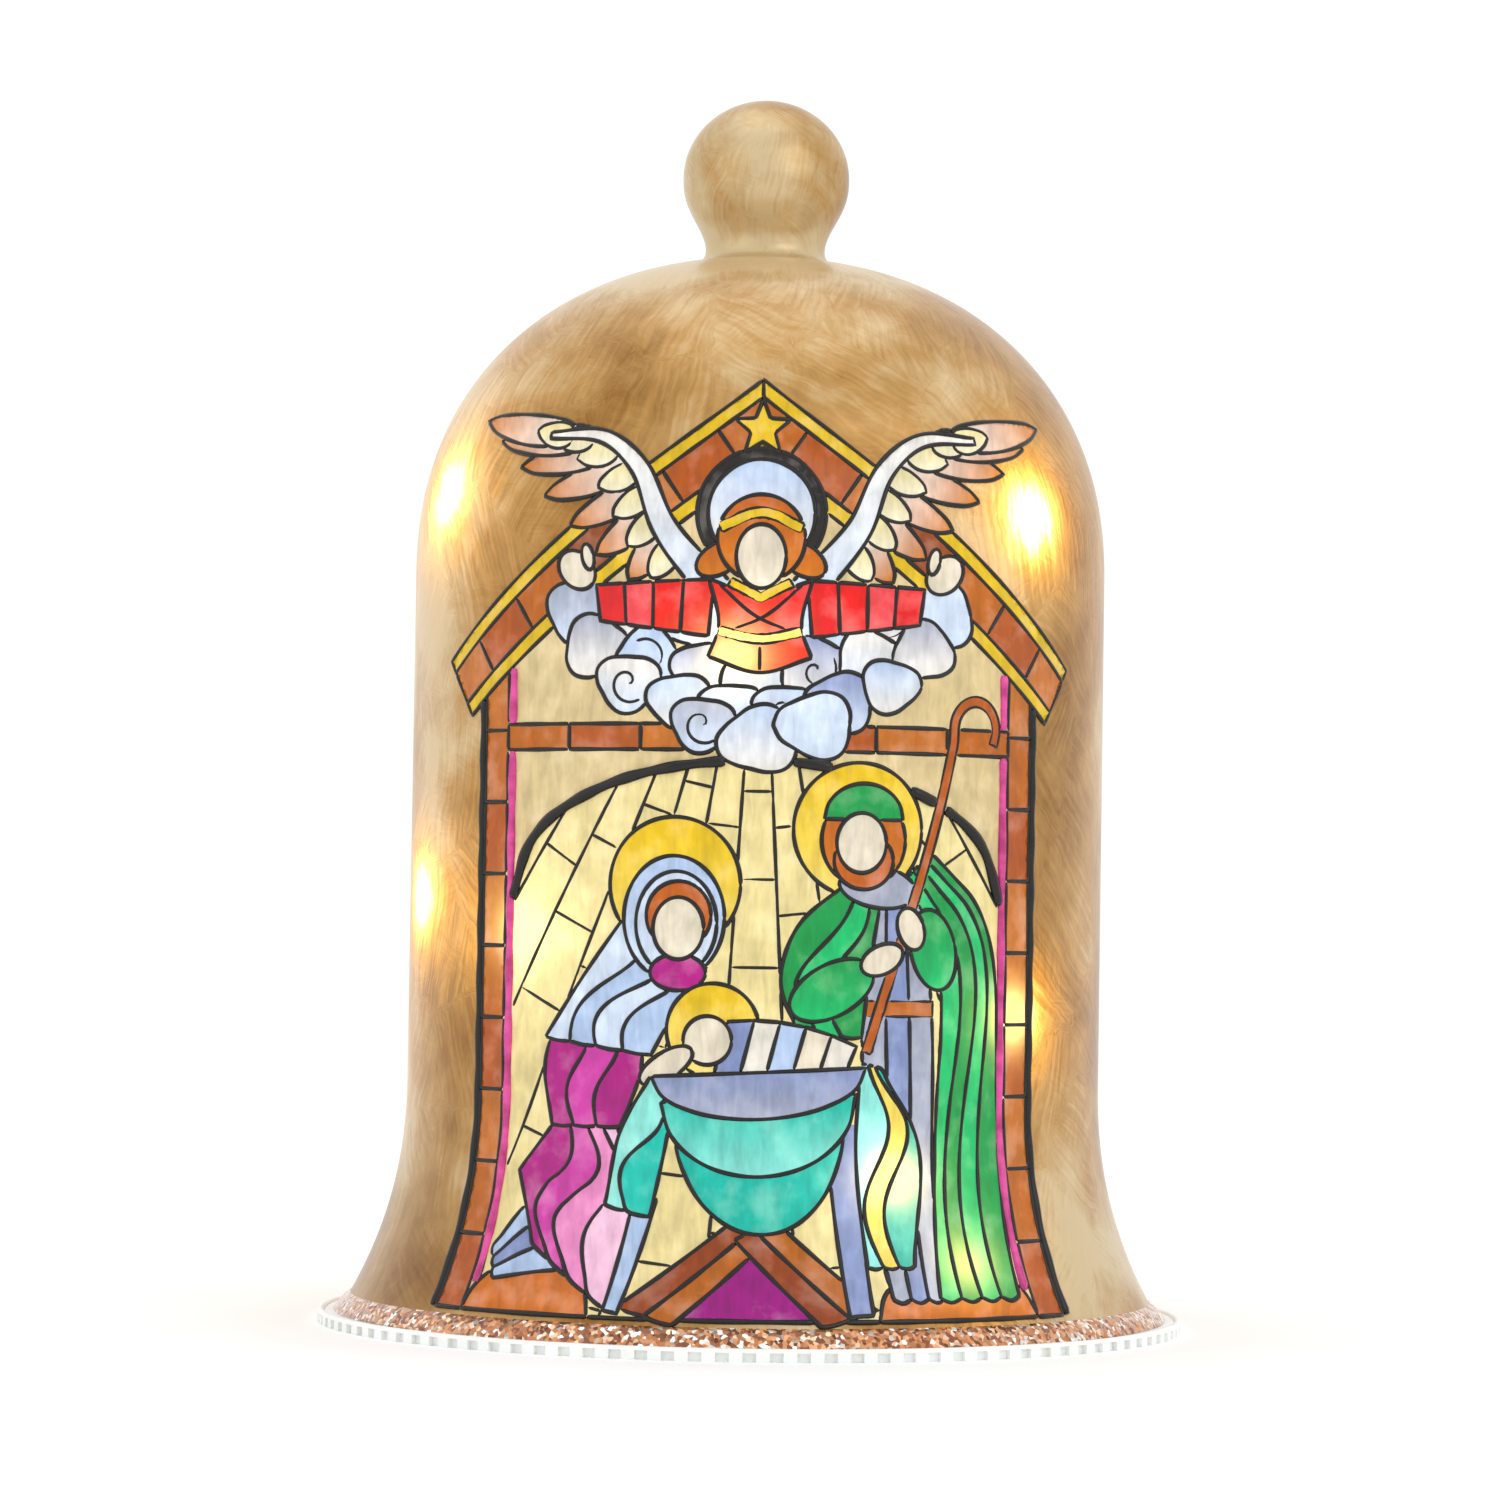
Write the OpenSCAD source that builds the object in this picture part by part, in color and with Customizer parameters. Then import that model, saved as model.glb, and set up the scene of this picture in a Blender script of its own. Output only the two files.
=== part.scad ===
// Battery-lit glass bell: a blown glass bell with a hollow knob, bonded to a white
// moulded base that holds three AA cells, a timer board, a slide switch and a string
// of small lights that winds up inside the glass.
// Millimetres, +Z up, origin at the middle of the base's foot, painted side facing -Y.

/* [Glass] */
// Outer radius of the straight wall
body_r = 71.4; // [64:0.1:86]
// Wall thickness of the blown glass
glass_t = 2.5; // [1.8:0.1:4]
// Height from the glass's foot to where the dome springs
wall_h = 151.8; // [110:0.1:190]
// Height of the dome above its spring line
dome_h = 66.5; // [50:0.5:90]
// Roundness of the dome: 2 is an ellipse, more is squarer
dome_power = 2.2; // [2:0.05:2.8]
// How far the foot flares outwards
flare_w = 13; // [8:0.5:16]
// Height of the flare
flare_h = 47.8; // [30:0.1:60]
// How late the flare turns out
flare_power = 2.2; // [1.6:0.1:3]

/* [Knob] */
// Largest radius of the knob
knob_r = 17.3; // [14:0.1:22]
// Outer radius of its neck
neck_r = 12.4; // [9:0.1:13.5]
// Height from the neck to the widest place
knob_rise = 15.2; // [10:0.1:20]
// Height from the widest place to the top
knob_cap = 16.3; // [12:0.1:20]
// Radius where the neck runs into the dome
neck_fillet = 3; // [1.5:0.1:5]

/* [Glitter band] */
// Height of the band over the foot of the glass
band_h = 3.6; // [2:0.1:6]
// How far the band stands proud of the glass
band_t = 1.3; // [0.6:0.1:2]

/* [Base] */
// How far the base reaches past the glass's foot
base_reach = 4.6; // [2.5:0.1:8]
// Thickness of the base's edge
edge_t = 2.2; // [1.8:0.1:3]
// Number of notches in the edge
notch_n = 108; // [72:4:144]
// Depth of each notch
notch_d = 1.1; // [0.6:0.1:1.6]
// Share of the pitch that each notch takes
notch_share = 0.5; // [0.3:0.05:0.6]
// Thickness of the base's raised middle
web_t = 2.6; // [2.4:0.1:3.4]
// Height of the raised middle's top
web_top = 7.2; // [6.8:0.1:9]
// Number of stiffening ribs underneath
rib_n = 16; // [8:4:24]

/* [Battery housing] */
// Diameter of a cell
cell_d = 14.5; // [10:0.1:17.5]
// Length of a cell over its button
cell_l = 50.5; // [42:0.1:61]
// Space between neighbouring cells
cell_gap = 0.7; // [0.4:0.1:1.5]
// Wall thickness of the housing
house_t = 1.6; // [1.2:0.1:2.4]
// Room for a contact at each end of a cell
contact_room = 4.1; // [3.8:0.1:5.5]
// Width of the bay that holds the timer board
board_bay = 24.8; // [20.5:0.1:30]
// Room above the cells for the leads
lead_room = 2.3; // [2.2:0.1:4]

/* [Battery door] */
// Thickness of the door's panel
door_t = 1.6; // [1.2:0.1:2]
// Gap round the door
door_gap = 0.35; // [0.25:0.05:0.5]
// Radius of the hinge barrel
barrel_r = 1.1; // [1:0.05:1.2]
// Radius of the hinge pins
pin_r = 0.7; // [0.5:0.05:0.8]
// Length of each hinge pin
pin_l = 2; // [1.5:0.1:3]
// Width of the door's finger tab
tab_w = 14; // [10:0.5:20]

/* [Switch] */
// Travel from on, past off, to timer
switch_travel = 4; // [3:0.5:5]
// Width of the switch's stem
stem_w = 3; // [2:0.1:4]

/* [Lights] */
// Diameter of the light wire
wire_d = 1.2; // [0.8:0.1:1.6]
// Radius of a light bead
bead_r = 2.2; // [1.6:0.1:3]

/* [Hidden] */

$fn = 96;
slip = 0.05;        // gap between pieces that are fixed against each other
pin_slip = 0.06;    // radial running clearance of the hinge pins
wire_slip = 0.15;   // round the light wire, where it runs through a hole
foot_z = edge_t;    // the glass stands on the base's edge
gold = [0.83, 0.70, 0.45];
plastic = [0.95, 0.95, 0.93];
nickel = [0.75, 0.75, 0.72];

// ---- glass: one outline for the outside, and the same one set in by the wall -------
flare_top = foot_z + flare_h;
spring_z = foot_z + wall_h;
fillet_x = neck_r + neck_fillet;
function dome_z(r, inset) = spring_z + (dome_h - inset)
    * pow(1 - pow(r / (body_r - inset), dome_power), 1 / dome_power);
crown_z = dome_z(fillet_x, 0);
neck_z = crown_z + neck_fillet;
knob_z = neck_z + knob_rise;

function flare_r(z, inset) = body_r - inset
    + flare_w * pow(max(0, flare_top - z) / flare_h, flare_power);
function dome_point(a, inset) = [
    (body_r - inset) * pow(cos(a), 2 / dome_power),
    spring_z + (dome_h - inset) * pow(sin(a), 2 / dome_power)];
knob_waist = 1.25;  // more than 1 keeps the knob full for longer before it draws in to the neck
// share of the way from the neck's radius out to the knob's, t = 0 at the widest place
function knob_share(t) = pow(cos(90 * pow(t, knob_waist)), 2);
function bell_outline(inset) =
    let (dome_end = acos(pow(fillet_x / (body_r - inset), dome_power / 2)))
    concat(
        [for (i = [0:14]) let (z = foot_z + flare_h * i / 14) [flare_r(z, inset), z]],
        [for (i = [0:26]) dome_point(dome_end * i / 26, inset)],
        [for (a = [260:-16:180]) [fillet_x + (neck_fillet + inset) * cos(a),
                                  neck_z + (neck_fillet + inset) * sin(a)]],
        [for (i = [11:-1:1]) let (t = i / 12)
            [neck_r - inset + (knob_r - neck_r) * knob_share(t), knob_z - knob_rise * t]],
        [for (a = [0:9:81]) [(knob_r - inset) * cos(a), knob_z + (knob_cap - inset) * sin(a)]],
        [[0, knob_z + knob_cap - inset]]);
function reversed(list) = [for (i = [len(list) - 1:-1:0]) list[i]];

module bell_glass() {
    color(gold)
    rotate_extrude()
        polygon(concat(bell_outline(0), reversed(bell_outline(glass_t))));
}

// A bead of glitter laid round the foot of the glass, over its joint with the base.
module glitter_band() {
    band_z = foot_z + slip;
    color([0.72, 0.42, 0.22])
    rotate_extrude()
        polygon(concat(
            [for (i = [0:8]) let (z = band_z + band_h * i / 8) [flare_r(z, -slip), z]],
            [for (i = [7:-1:0]) let (z = band_z + band_h * i / 8)
                [flare_r(z, -slip) + band_t * sqrt(1 - pow(i / 8, 2)), z]]));
}

// Clear silicone that fills the corner between the glass and the base's raised middle.
glue_h = 2.4;
module glue_ring() {
    color([0.85, 0.85, 0.82])
    rotate_extrude()
        polygon(concat(
            [[step_r + slip, foot_z + slip + glue_h], [step_r + slip, foot_z + slip]],
            [for (i = [0:3]) let (z = foot_z + slip + 0.6 * glue_h * i / 3)
                [flare_r(z, glass_t + slip), z]]));
}

// ---- base ----------------------------------------------------------------------------
glass_foot_r = body_r + flare_w;
base_r = glass_foot_r + base_reach;
step_r = glass_foot_r - glass_t - 4.9;  // the raised middle stands inside the glass's foot
recess_r = step_r - 2;
web_z = web_top - web_t;
lip_r = 0.7;                            // bead round the top of the edge
lip_z = edge_t - 0.3;
notch_h = lip_z - 0.1;

// battery bay and board bay, side by side along Y
cell_pitch = cell_d + cell_gap;
bay_x = cell_l / 2 + contact_room;
bay_y = cell_pitch * 3 + 0.8;
house_x = bay_x + house_t;
house_y = (bay_y + board_bay + 3 * house_t) / 2;
bay_y0 = -house_y + house_t;
bay_y1 = bay_y0 + bay_y;
board_y0 = bay_y1 + house_t;
board_y1 = board_y0 + board_bay;
board_mid = (board_y0 + board_y1) / 2;
open_margin = 0.6;                      // ledge of the base inside the bay's walls
open_x = bay_x - open_margin;
open_y0 = bay_y0 + open_margin / 2;
open_y1 = bay_y1 - open_margin / 2;

// the cells rest just above the door
door_top = web_z + door_t;
cell_z = door_top + 1 + cell_d / 2;
house_top_in = cell_z + cell_d / 2 + lead_room;
house_top = house_top_in + house_t;

hinge_clear = 0.45;
hinge_x = -open_x + hinge_clear + barrel_r;
hinge_z = web_z + web_t / 2;

screw_r = 1.3;                          // shank of a housing screw
boss_r = 3.6;
boss_h = 9;
screw_x = house_x + boss_r - 0.8;
screw_y = house_y - 8;
screw_places = [[screw_x, screw_y], [-screw_x, screw_y], [screw_x, -screw_y], [-screw_x, -screw_y]];

board_t = 1.6;
board_w = 44;
board_d = board_bay - 5;
post_h = 3.8;
post_r = 2.7;
post_x = board_w / 2 - 4;
board_z = web_top + post_h;
board_screw_r = 0.95;

slot_w = stem_w + 0.6;
slot_l = stem_w + switch_travel + 1.2;

tab_l = 3.4;                            // the door's tab, in a notch under a thin ledge
tab_gap = 0.4;
ledge_t = 0.9;
scoop_r = 6;                            // the scoop beside it, for a fingertip

rib_w = 1.2;
rib_h = 3;
rib_sink = 0.8;                         // how far a rib's top runs up into the raised middle

module rounded(w, d, r) {
    square([w - 2 * r, d], center = true);
    square([w, d - 2 * r], center = true);
    for (x = [-1, 1], y = [-1, 1])
        translate([x * (w / 2 - r), y * (d / 2 - r)]) circle(r, $fn = 32);
}

module edge_notches() {
    notch_w = 360 / notch_n * notch_share;
    for (i = [0:notch_n - 1])
        rotate(i * 360 / notch_n)
            translate([base_r - notch_d, -base_r * sin(notch_w / 2), -1])
                cube([notch_d + 1, 2 * base_r * sin(notch_w / 2), notch_h + 1]);
}

module base_plate() {
    color(plastic)
    difference() {
        union() {
            rotate_extrude()
                polygon(concat(
                    [[0, web_z], [recess_r, web_z], [recess_r, 0], [base_r, 0], [base_r, lip_z]],
                    [for (a = [0:30:180]) [base_r - lip_r + lip_r * cos(a), lip_z + lip_r * sin(a)]],
                    [[base_r - 2 * lip_r - 0.4, edge_t], [step_r, edge_t],
                     [step_r, web_top], [0, web_top]]));
            for (x = [-post_x, post_x])
                translate([x, board_mid, web_z + 0.5])
                    cylinder(r = post_r, h = board_z - web_z - 0.5 - slip);
            stiffening_ribs();
            switch_marks();
        }
        edge_notches();
        translate([-open_x, open_y0, web_z - 1])
            cube([2 * open_x, open_y1 - open_y0, web_t + 2]);
        finger_notch();
        hinge_holes();
        for (p = screw_places)
            translate([p[0], p[1], web_z - 1]) cylinder(r = screw_r + 0.2, h = web_t + 2);
        for (x = [-post_x, post_x])
            translate([x, board_mid, web_z + 1]) cylinder(r = board_screw_r + slip, h = 20);
        translate([0, board_mid, web_z - 1])
            linear_extrude(web_t + 2) square([slot_l, slot_w], center = true);
        translate([0, board_mid, web_z - 1])
            linear_extrude(1.8) rounded(slot_l + 5, slot_w + 4, 1.5);
    }
}

// the door's tab drops into a notch, with a scoop beside it for a fingertip
module finger_notch() {
    mid_y = (open_y0 + open_y1) / 2;
    translate([open_x - 1, mid_y - tab_w / 2 - tab_gap, web_z - 1])
        cube([tab_l + tab_gap + 1, tab_w + 2 * tab_gap, 1 + web_t - ledge_t]);
    translate([open_x + tab_l + tab_gap + 1, mid_y, web_z - 1])
        cylinder(r = scoop_r, h = 2);
}

module hinge_holes() {
    for (side = [0, 1])
        translate([hinge_x, side ? open_y1 - 1 : open_y0 + 1, hinge_z])
            rotate([side ? -90 : 90, 0, 0])
                cylinder(r = pin_r + pin_slip, h = pin_l + 1.4, $fn = 32);
}

module stiffening_ribs() {
    rib_in = max(norm([house_x, house_y]) + 4, norm([screw_x, screw_y]) + 7);
    for (i = [0:rib_n - 1])
        rotate((i + 0.5) * 360 / rib_n)
            translate([rib_in, -rib_w / 2, web_z + rib_sink - rib_h])
                cube([recess_r - rib_in + 1, rib_w, rib_h]);
}

// three raised bars beside the switch: one for each position
module switch_marks() {
    for (i = [0:2])
        translate([(i - 1) * switch_travel / 2 - 0.4, board_mid + slot_w / 2 + 3, web_z - 0.4])
            cube([0.8, 1.2 + i * 0.8, 1]);
}

// ---- housing -------------------------------------------------------------------------
module battery_housing() {
    lead_notch = 2.2;
    color(plastic)
    difference() {
        union() {
            translate([0, 0, web_top + slip])
                linear_extrude(house_top - web_top - slip) rounded(2 * house_x, 2 * house_y, 3);
            for (p = screw_places) {
                translate([p[0], p[1], web_top + slip]) cylinder(r = boss_r, h = boss_h);
                translate([p[0] > 0 ? house_x - 1 : p[0], p[1] - 1, web_top + slip])
                    cube([screw_x - house_x + 1, 2, boss_h]);
            }
        }
        translate([-bay_x, bay_y0, 0]) cube([2 * bay_x, bay_y, house_top_in]);
        translate([-bay_x, board_y0, 0]) cube([2 * bay_x, board_bay, house_top_in]);
        // the two leads pass over the partition, one at each end
        for (x = [-1, 1])
            translate([x * lead_x - lead_notch / 2, bay_y1 - 1, house_top_in - lead_room])
                cube([lead_notch, house_t + 2, lead_room]);
        for (p = screw_places)
            translate([p[0], p[1], 0])
                cylinder(r = screw_r + slip, h = web_top + boss_h - 1);
        translate([exit_x, exit_y, house_top_in - 1]) cylinder(r = grommet_r, h = house_t + 2);
    }
}

// ---- door: turns down on two pins, held shut by its tab -------------------------------
module battery_door() {
    mid_y = (open_y0 + open_y1) / 2;
    width = open_y1 - open_y0 - 2 * door_gap;
    length = open_x - door_gap - hinge_x;
    color([0.93, 0.93, 0.91])
    difference() {
        union() {
            translate([hinge_x, mid_y - width / 2, web_z]) cube([length, width, door_t]);
            translate([hinge_x, mid_y - width / 2, hinge_z])
                rotate([-90, 0, 0]) cylinder(r = barrel_r, h = width, $fn = 48);
            translate([hinge_x, mid_y - width / 2 - pin_l, hinge_z])
                rotate([-90, 0, 0]) cylinder(r = pin_r, h = width + 2 * pin_l, $fn = 32);
            translate([open_x - door_gap - 1, mid_y - tab_w / 2, web_z])
                cube([tab_l + door_gap + 1, tab_w, door_t - 0.4]);
            // grip bars that a thumb pushes on
            for (i = [0:4])
                translate([open_x - 5 - 2.2 * i, mid_y - 8, web_z - 0.5]) cube([1, 16, 1]);
            // low ribs that the cells rest against
            for (i = [-1:1])
                translate([hinge_x + 6, mid_y + i * cell_pitch - 0.5, door_top - 0.2])
                    cube([length - 12, 1, 0.9]);
        }
        // two cuts free the tab, so that it can spring
        for (side = [-1, 1])
            translate([open_x - 7, mid_y + side * (tab_w / 2 + 0.5) - 0.4, web_z - 1])
                cube([8, 0.8, door_t + 2]);
    }
}

// ---- cells and their contacts ---------------------------------------------------------
// cell 1 and cell 3 point to +X, cell 2 to -X
function cell_y(i) = (bay_y0 + bay_y1) / 2 + (i - 2) * cell_pitch;
function cell_way(i) = i == 2 ? -1 : 1;
button_h = 1;
module battery_cell(i) {
    translate([0, cell_y(i), cell_z])
    rotate([0, 90 * cell_way(i), 0]) {
        color([0.20, 0.30, 0.34])
        translate([0, 0, -cell_l / 2]) cylinder(r = cell_d / 2, h = cell_l - button_h);
        color([0.72, 0.50, 0.25])
        translate([0, 0, cell_l / 2 - button_h - 0.1]) cylinder(r = 2.75, h = button_h + 0.1);
    }
}

contact_t = 0.4;
contact_x = bay_x - slip - contact_t;   // inner face of every contact plate
plate_w = 10;
plate_h = 11;
coil_wire = 0.7;
coil_tip_r = 2.6;                       // the coil's radius at the cell, and at the plate
coil_foot_r = 4.5;
// centre line of a cone-shaped coil that grows towards the plate
function coil_point(s, turns, gap) = let (r = coil_tip_r + (coil_foot_r - coil_tip_r) * s)
    [r * cos(360 * turns * s), r * sin(360 * turns * s), coil_wire / 2 + (gap - coil_wire) * s];
module cell_springs() {
    gap = contact_x - cell_l / 2 - 2 * slip;
    color(nickel)
    for (i = [1:3])
        translate([-cell_way(i) * (cell_l / 2 + slip), cell_y(i), cell_z])
            rotate([0, -90 * cell_way(i), 0])
                sweep([for (k = [0:54]) coil_point(k / 54, 3, gap)], coil_wire / 2, 6);
}

module cell_contacts() {
    color(nickel) {
        contact_plate(1, cell_y(1), plate_w, plate_h);
        contact_plate(-1, cell_y(3), plate_w, plate_h);
        contact_plate(-1, (cell_y(1) + cell_y(2)) / 2, plate_w + cell_pitch, plate_h);
        contact_plate(1, (cell_y(2) + cell_y(3)) / 2, plate_w + cell_pitch, plate_h);
    }
}
module contact_plate(side, y, w, h) {
    translate([side > 0 ? contact_x : -contact_x - contact_t, y - w / 2, cell_z - h / 2])
        cube([contact_t, w, h]);
}

// ---- timer board and what is on it -----------------------------------------------------
module timer_board() {
    color([0.10, 0.35, 0.20])
    translate([0, board_mid, board_z])
    difference() {
        translate([-board_w / 2, -board_d / 2, 0]) cube([board_w, board_d, board_t]);
        for (x = [-post_x, post_x])
            translate([x, 0, -1]) cylinder(r = board_screw_r + 0.25, h = board_t + 2, $fn = 32);
    }
}
board_top = board_z + board_t;

module timer_chip() {
    color([0.08, 0.08, 0.09])
    translate([3, board_mid - 3, board_top + slip]) {
        translate([-2.5, -2, 0.3]) cube([5, 4, 1.4]);
        for (x = [-1.9:1.27:1.95], side = [-1, 1])
            translate([x - 0.2, side > 0 ? 1.9 : -3, 0]) cube([0.4, 1.1, 0.45]);
    }
}

module board_parts() {
    color([0.75, 0.60, 0.42]) {
        for (i = [0:2])                           // resistors
            translate([-9, board_mid + 1 + 2.4 * i, board_top + slip]) cube([2, 1.2, 0.6]);
        for (i = [0:1])                           // ceramic capacitors
            translate([9 + 2.6 * i, board_mid - 7, board_top + slip]) cube([1.3, 2, 0.9]);
        translate([11, board_mid + 4, board_top + slip])   // smoothing capacitor
            cylinder(r = 2.5, h = 5.4, $fn = 48);
        translate([-2, board_mid + 5, board_top + slip])   // timing crystal
            cube([6, 2.2, 2]);
    }
}

module board_screws() {
    color(nickel)
    for (x = [-post_x, post_x])
        translate([x, board_mid, board_top + slip])
        difference() {
            union() {
                cylinder(r = 1.9, h = 1.3, $fn = 48);
                translate([0, 0, -board_t - 3]) cylinder(r = board_screw_r, h = board_t + 3.2, $fn = 32);
            }
            cross_slot(1.3, 2.4, 0.5);
        }
}
// a cross recess in a screw's head, whose face is at height top
module cross_slot(top, length, width) {
    translate([-length / 2, -width / 2, top - 0.7]) cube([length, width, 1]);
    translate([-width / 2, -length / 2, top - 0.7]) cube([width, length, 1]);
}

// ---- slide switch ------------------------------------------------------------------------
case_l = switch_travel + stem_w + 5.6;
case_w = 6;
foot_l = stem_w + 1.6;
foot_t = 1.1;
case_z = web_top + 0.2;
case_h = post_h - 0.2 - slip;
module switch_case() {
    color(nickel)
    translate([0, board_mid, case_z])
    difference() {
        translate([-case_l / 2, -case_w / 2, 0]) cube([case_l, case_w, case_h]);
        translate([-(foot_l + switch_travel) / 2 - 0.3, -2.3, 0.5])
            cube([foot_l + switch_travel + 0.6, 4.6, foot_t + 0.6]);
        translate([-(stem_w + switch_travel) / 2 - 0.3, -stem_w / 2 - 0.2, -1])
            cube([stem_w + switch_travel + 0.6, stem_w + 0.4, 2]);
    }
}
// at rest the slider is at the -X end of its slot, which is on
module switch_slider() {
    stem_tip = web_z - 2;
    color([0.10, 0.10, 0.11])
    translate([-switch_travel / 2, board_mid, 0]) {
        translate([-foot_l / 2, -2.1, case_z + 0.8]) cube([foot_l, 4.2, foot_t]);
        translate([-stem_w / 2, -stem_w / 2, stem_tip])
            cube([stem_w, stem_w, case_z + 1.2 - stem_tip]);
        for (i = [-1:1])                          // grip lines on the tip
            translate([i - 0.2, -stem_w / 2, stem_tip - 0.3]) cube([0.4, stem_w, 0.5]);
    }
}

// ---- leads, screws and the light string ----------------------------------------------------
lead_d = 1.4;
lead_x = bay_x - 3;
lead_z = house_top_in - lead_room / 2;
contact_top = cell_z + plate_h / 2;
// soldered to the plate's top edge, then up, over the partition and down to the board
function lead_route(side, y) = [
    [side * (contact_x - 0.4), y, contact_top + slip],
    [side * (contact_x - 0.5), y, contact_top + 1],
    [side * (lead_x + 1.2), y + 1.2, lead_z - 0.5],
    [side * lead_x, y + 4, lead_z],
    [side * lead_x, bay_y1 - 2, lead_z],
    [side * lead_x, board_y0 + 1, lead_z],
    [side * (lead_x - 1), board_y0 + 4, lead_z - 1.5],
    [side * (post_x + 3), board_mid - 6, board_top + 5],
    [side * (post_x + 2), board_mid - 6.5, board_top + 2],
    [side * (post_x + 2), board_mid - 6.5, board_top + slip]];
module lead_red() {
    color([0.75, 0.08, 0.06]) sweep(smooth(lead_route(1, cell_y(1)), 3), lead_d / 2, 8);
}
module lead_black() {
    color([0.06, 0.06, 0.06]) sweep(smooth(lead_route(-1, cell_y(3)), 3), lead_d / 2, 8);
}

module housing_screws() {
    color(nickel)
    for (p = screw_places)
        translate([p[0], p[1], web_z - slip])
        rotate([180, 0, 0])
        difference() {
            union() {
                cylinder(r1 = 2.7, r2 = 2.2, h = 1.6, $fn = 48);
                translate([0, 0, -web_t - boss_h + 2.5])
                    cylinder(r = screw_r, h = web_t + boss_h - 2.4, $fn = 32);
            }
            cross_slot(1.6, 3, 0.7);
        }
}

exit_x = -12;
exit_y = board_mid - 4;
grommet_r = 2.6;
flange_r = 4;                           // the grommet's two flanges, under and over the roof
flange_t = 1.2;
cap_r = 3.2;
cap_h = 1.4;
module wire_grommet() {
    color([0.15, 0.15, 0.15])
    translate([exit_x, exit_y, 0])
    rotate_extrude()
        polygon([[wire_d / 2 + wire_slip, house_top_in - flange_t],
                 [flange_r, house_top_in - flange_t],
                 [flange_r, house_top_in - slip], [grommet_r - slip, house_top_in - slip],
                 [grommet_r - slip, house_top + slip], [flange_r, house_top + slip],
                 [cap_r, house_top + cap_h], [wire_d / 2 + wire_slip, house_top + cap_h]]);
}

// The string's route inside the glass: turn in degrees from +X, distance in from the
// straight wall, height, and 1 where a light sits. It winds clockwise, close to the glass.
STRING = [
    [-57, 0, 14, 1], [-68, 3, 33, 1], [-100, 5, 38, 0], [-140, 7, 42, 0], [-190, 7, 46, 1],
    [-235, 7, 50, 1], [-285, 7, 55, 0], [-330, 7, 60, 1], [-405, 4, 65, 1], [-450, 5, 73, 0],
    [-489, 4, 81, 1], [-521, 5, 87, 1], [-570, 7, 96, 0], [-620, 7, 105, 1], [-680, 7, 114, 1],
    [-740, 6, 124, 0], [-814, 5, 134, 1], [-870, 6, 140, 0], [-920, 6, 146, 1], [-990, 6, 153, 1],
    [-1050, 6, 158, 1], [-1121, 5, 163, 1], [-1170, 5, 168, 0], [-1234, 6, 167, 1],
    [-1280, 7, 170, 1]];
string_drawn_z = 154;                   // spring line of the glass that the route is drawn for
string_rise = spring_z / string_drawn_z;   // the route stretches with the glass's height
function string_point(p) = let (r = body_r - glass_t - p[1])
    [r * cos(p[0]), r * sin(p[0]), p[2] * string_rise];
string_start = [
    [exit_x, exit_y, board_top + slip], [exit_x, exit_y, house_top - 1],
    [exit_x, exit_y, house_top + 1], [exit_x, exit_y, house_top + 2.4],
    [exit_x + 1.5, exit_y - 2, house_top + 5], [4, 6, house_top + 9],
    [32, -24, house_top + 5], [48, -46, house_top - 6]];
string_route = concat(string_start, [for (p = STRING) string_point(p)]);
module light_wire() {
    color([0.72, 0.45, 0.22]) sweep(smooth(string_route, 2), wire_d / 2, 6);
}
// Each bead is a drop of clear resin on the wire, pierced where the wire runs through it.
module light_beads() {
    color([1.0, 0.93, 0.70])
    for (i = [0:len(STRING) - 1])
        if (STRING[i][3] == 1)
            let (k = i + len(string_start), way = heading(string_route, k))
            translate(string_route[k])
            rotate([0, acos(way[2]), atan2(way[1], way[0])])
            difference() {
                sphere(bead_r, $fn = 48);
                cylinder(r = wire_d / 2 + wire_slip, h = 3 * bead_r, center = true, $fn = 32);
            }
}

// ---- curves ------------------------------------------------------------------------------------
// Catmull-Rom curve through the points: the place at share t of span i
function spline(p, i, t) =
    let (a = p[max(i - 1, 0)], b = p[i], c = p[i + 1], d = p[min(i + 2, len(p) - 1)])
    (2 * b + (c - a) * t + (2 * a - 5 * b + 4 * c - d) * t * t
     + (3 * b - a - 3 * c + d) * t * t * t) / 2;
function smooth(p, n) = concat(
    [for (i = [0:len(p) - 2], k = [0:n - 1]) spline(p, i, k / n)], [p[len(p) - 1]]);
function unit(v) = v / norm(v);
function heading(p, i) = unit(p[min(i + 1, len(p) - 1)] - p[max(i - 1, 0)]);
// a side direction for each ring, carried from ring to ring so that the tube doesn't twist
function sides_along(p, i, before) = i >= len(p) ? [] :
    let (t = heading(p, i), s = unit(before - (before * t) * t))
    concat([s], sides_along(p, i + 1, s));
// a round tube with n sides along the points
module sweep(p, r, n) {
    first = heading(p, 0);
    start = unit(cross(first, abs(first[2]) < 0.9 ? [0, 0, 1] : [1, 0, 0]));
    sides = sides_along(p, 0, start);
    rings = [for (i = [0:len(p) - 1]) let (s = sides[i], u = cross(heading(p, i), s))
        for (k = [0:n - 1]) p[i] + r * (cos(360 * k / n) * s + sin(360 * k / n) * u)];
    last = (len(p) - 1) * n;
    polyhedron(rings, concat(
        [[for (k = [0:n - 1]) k]],
        [[for (k = [n - 1:-1:0]) last + k]],
        [for (i = [0:len(p) - 2], k = [0:n - 1]) let (j = (k + 1) % n)
            [i * n + k, (i + 1) * n + k, (i + 1) * n + j, i * n + j]]));
}

bell_glass();
glitter_band();
glue_ring();
base_plate();
battery_housing();
battery_door();
battery_cell(1);  // battery_cell_1
battery_cell(2);  // battery_cell_2
battery_cell(3);  // battery_cell_3
cell_springs();
cell_contacts();
timer_board();
timer_chip();
board_parts();
board_screws();
switch_case();
switch_slider();
lead_red();
lead_black();
housing_screws();
wire_grommet();
light_wire();
light_beads();
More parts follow.
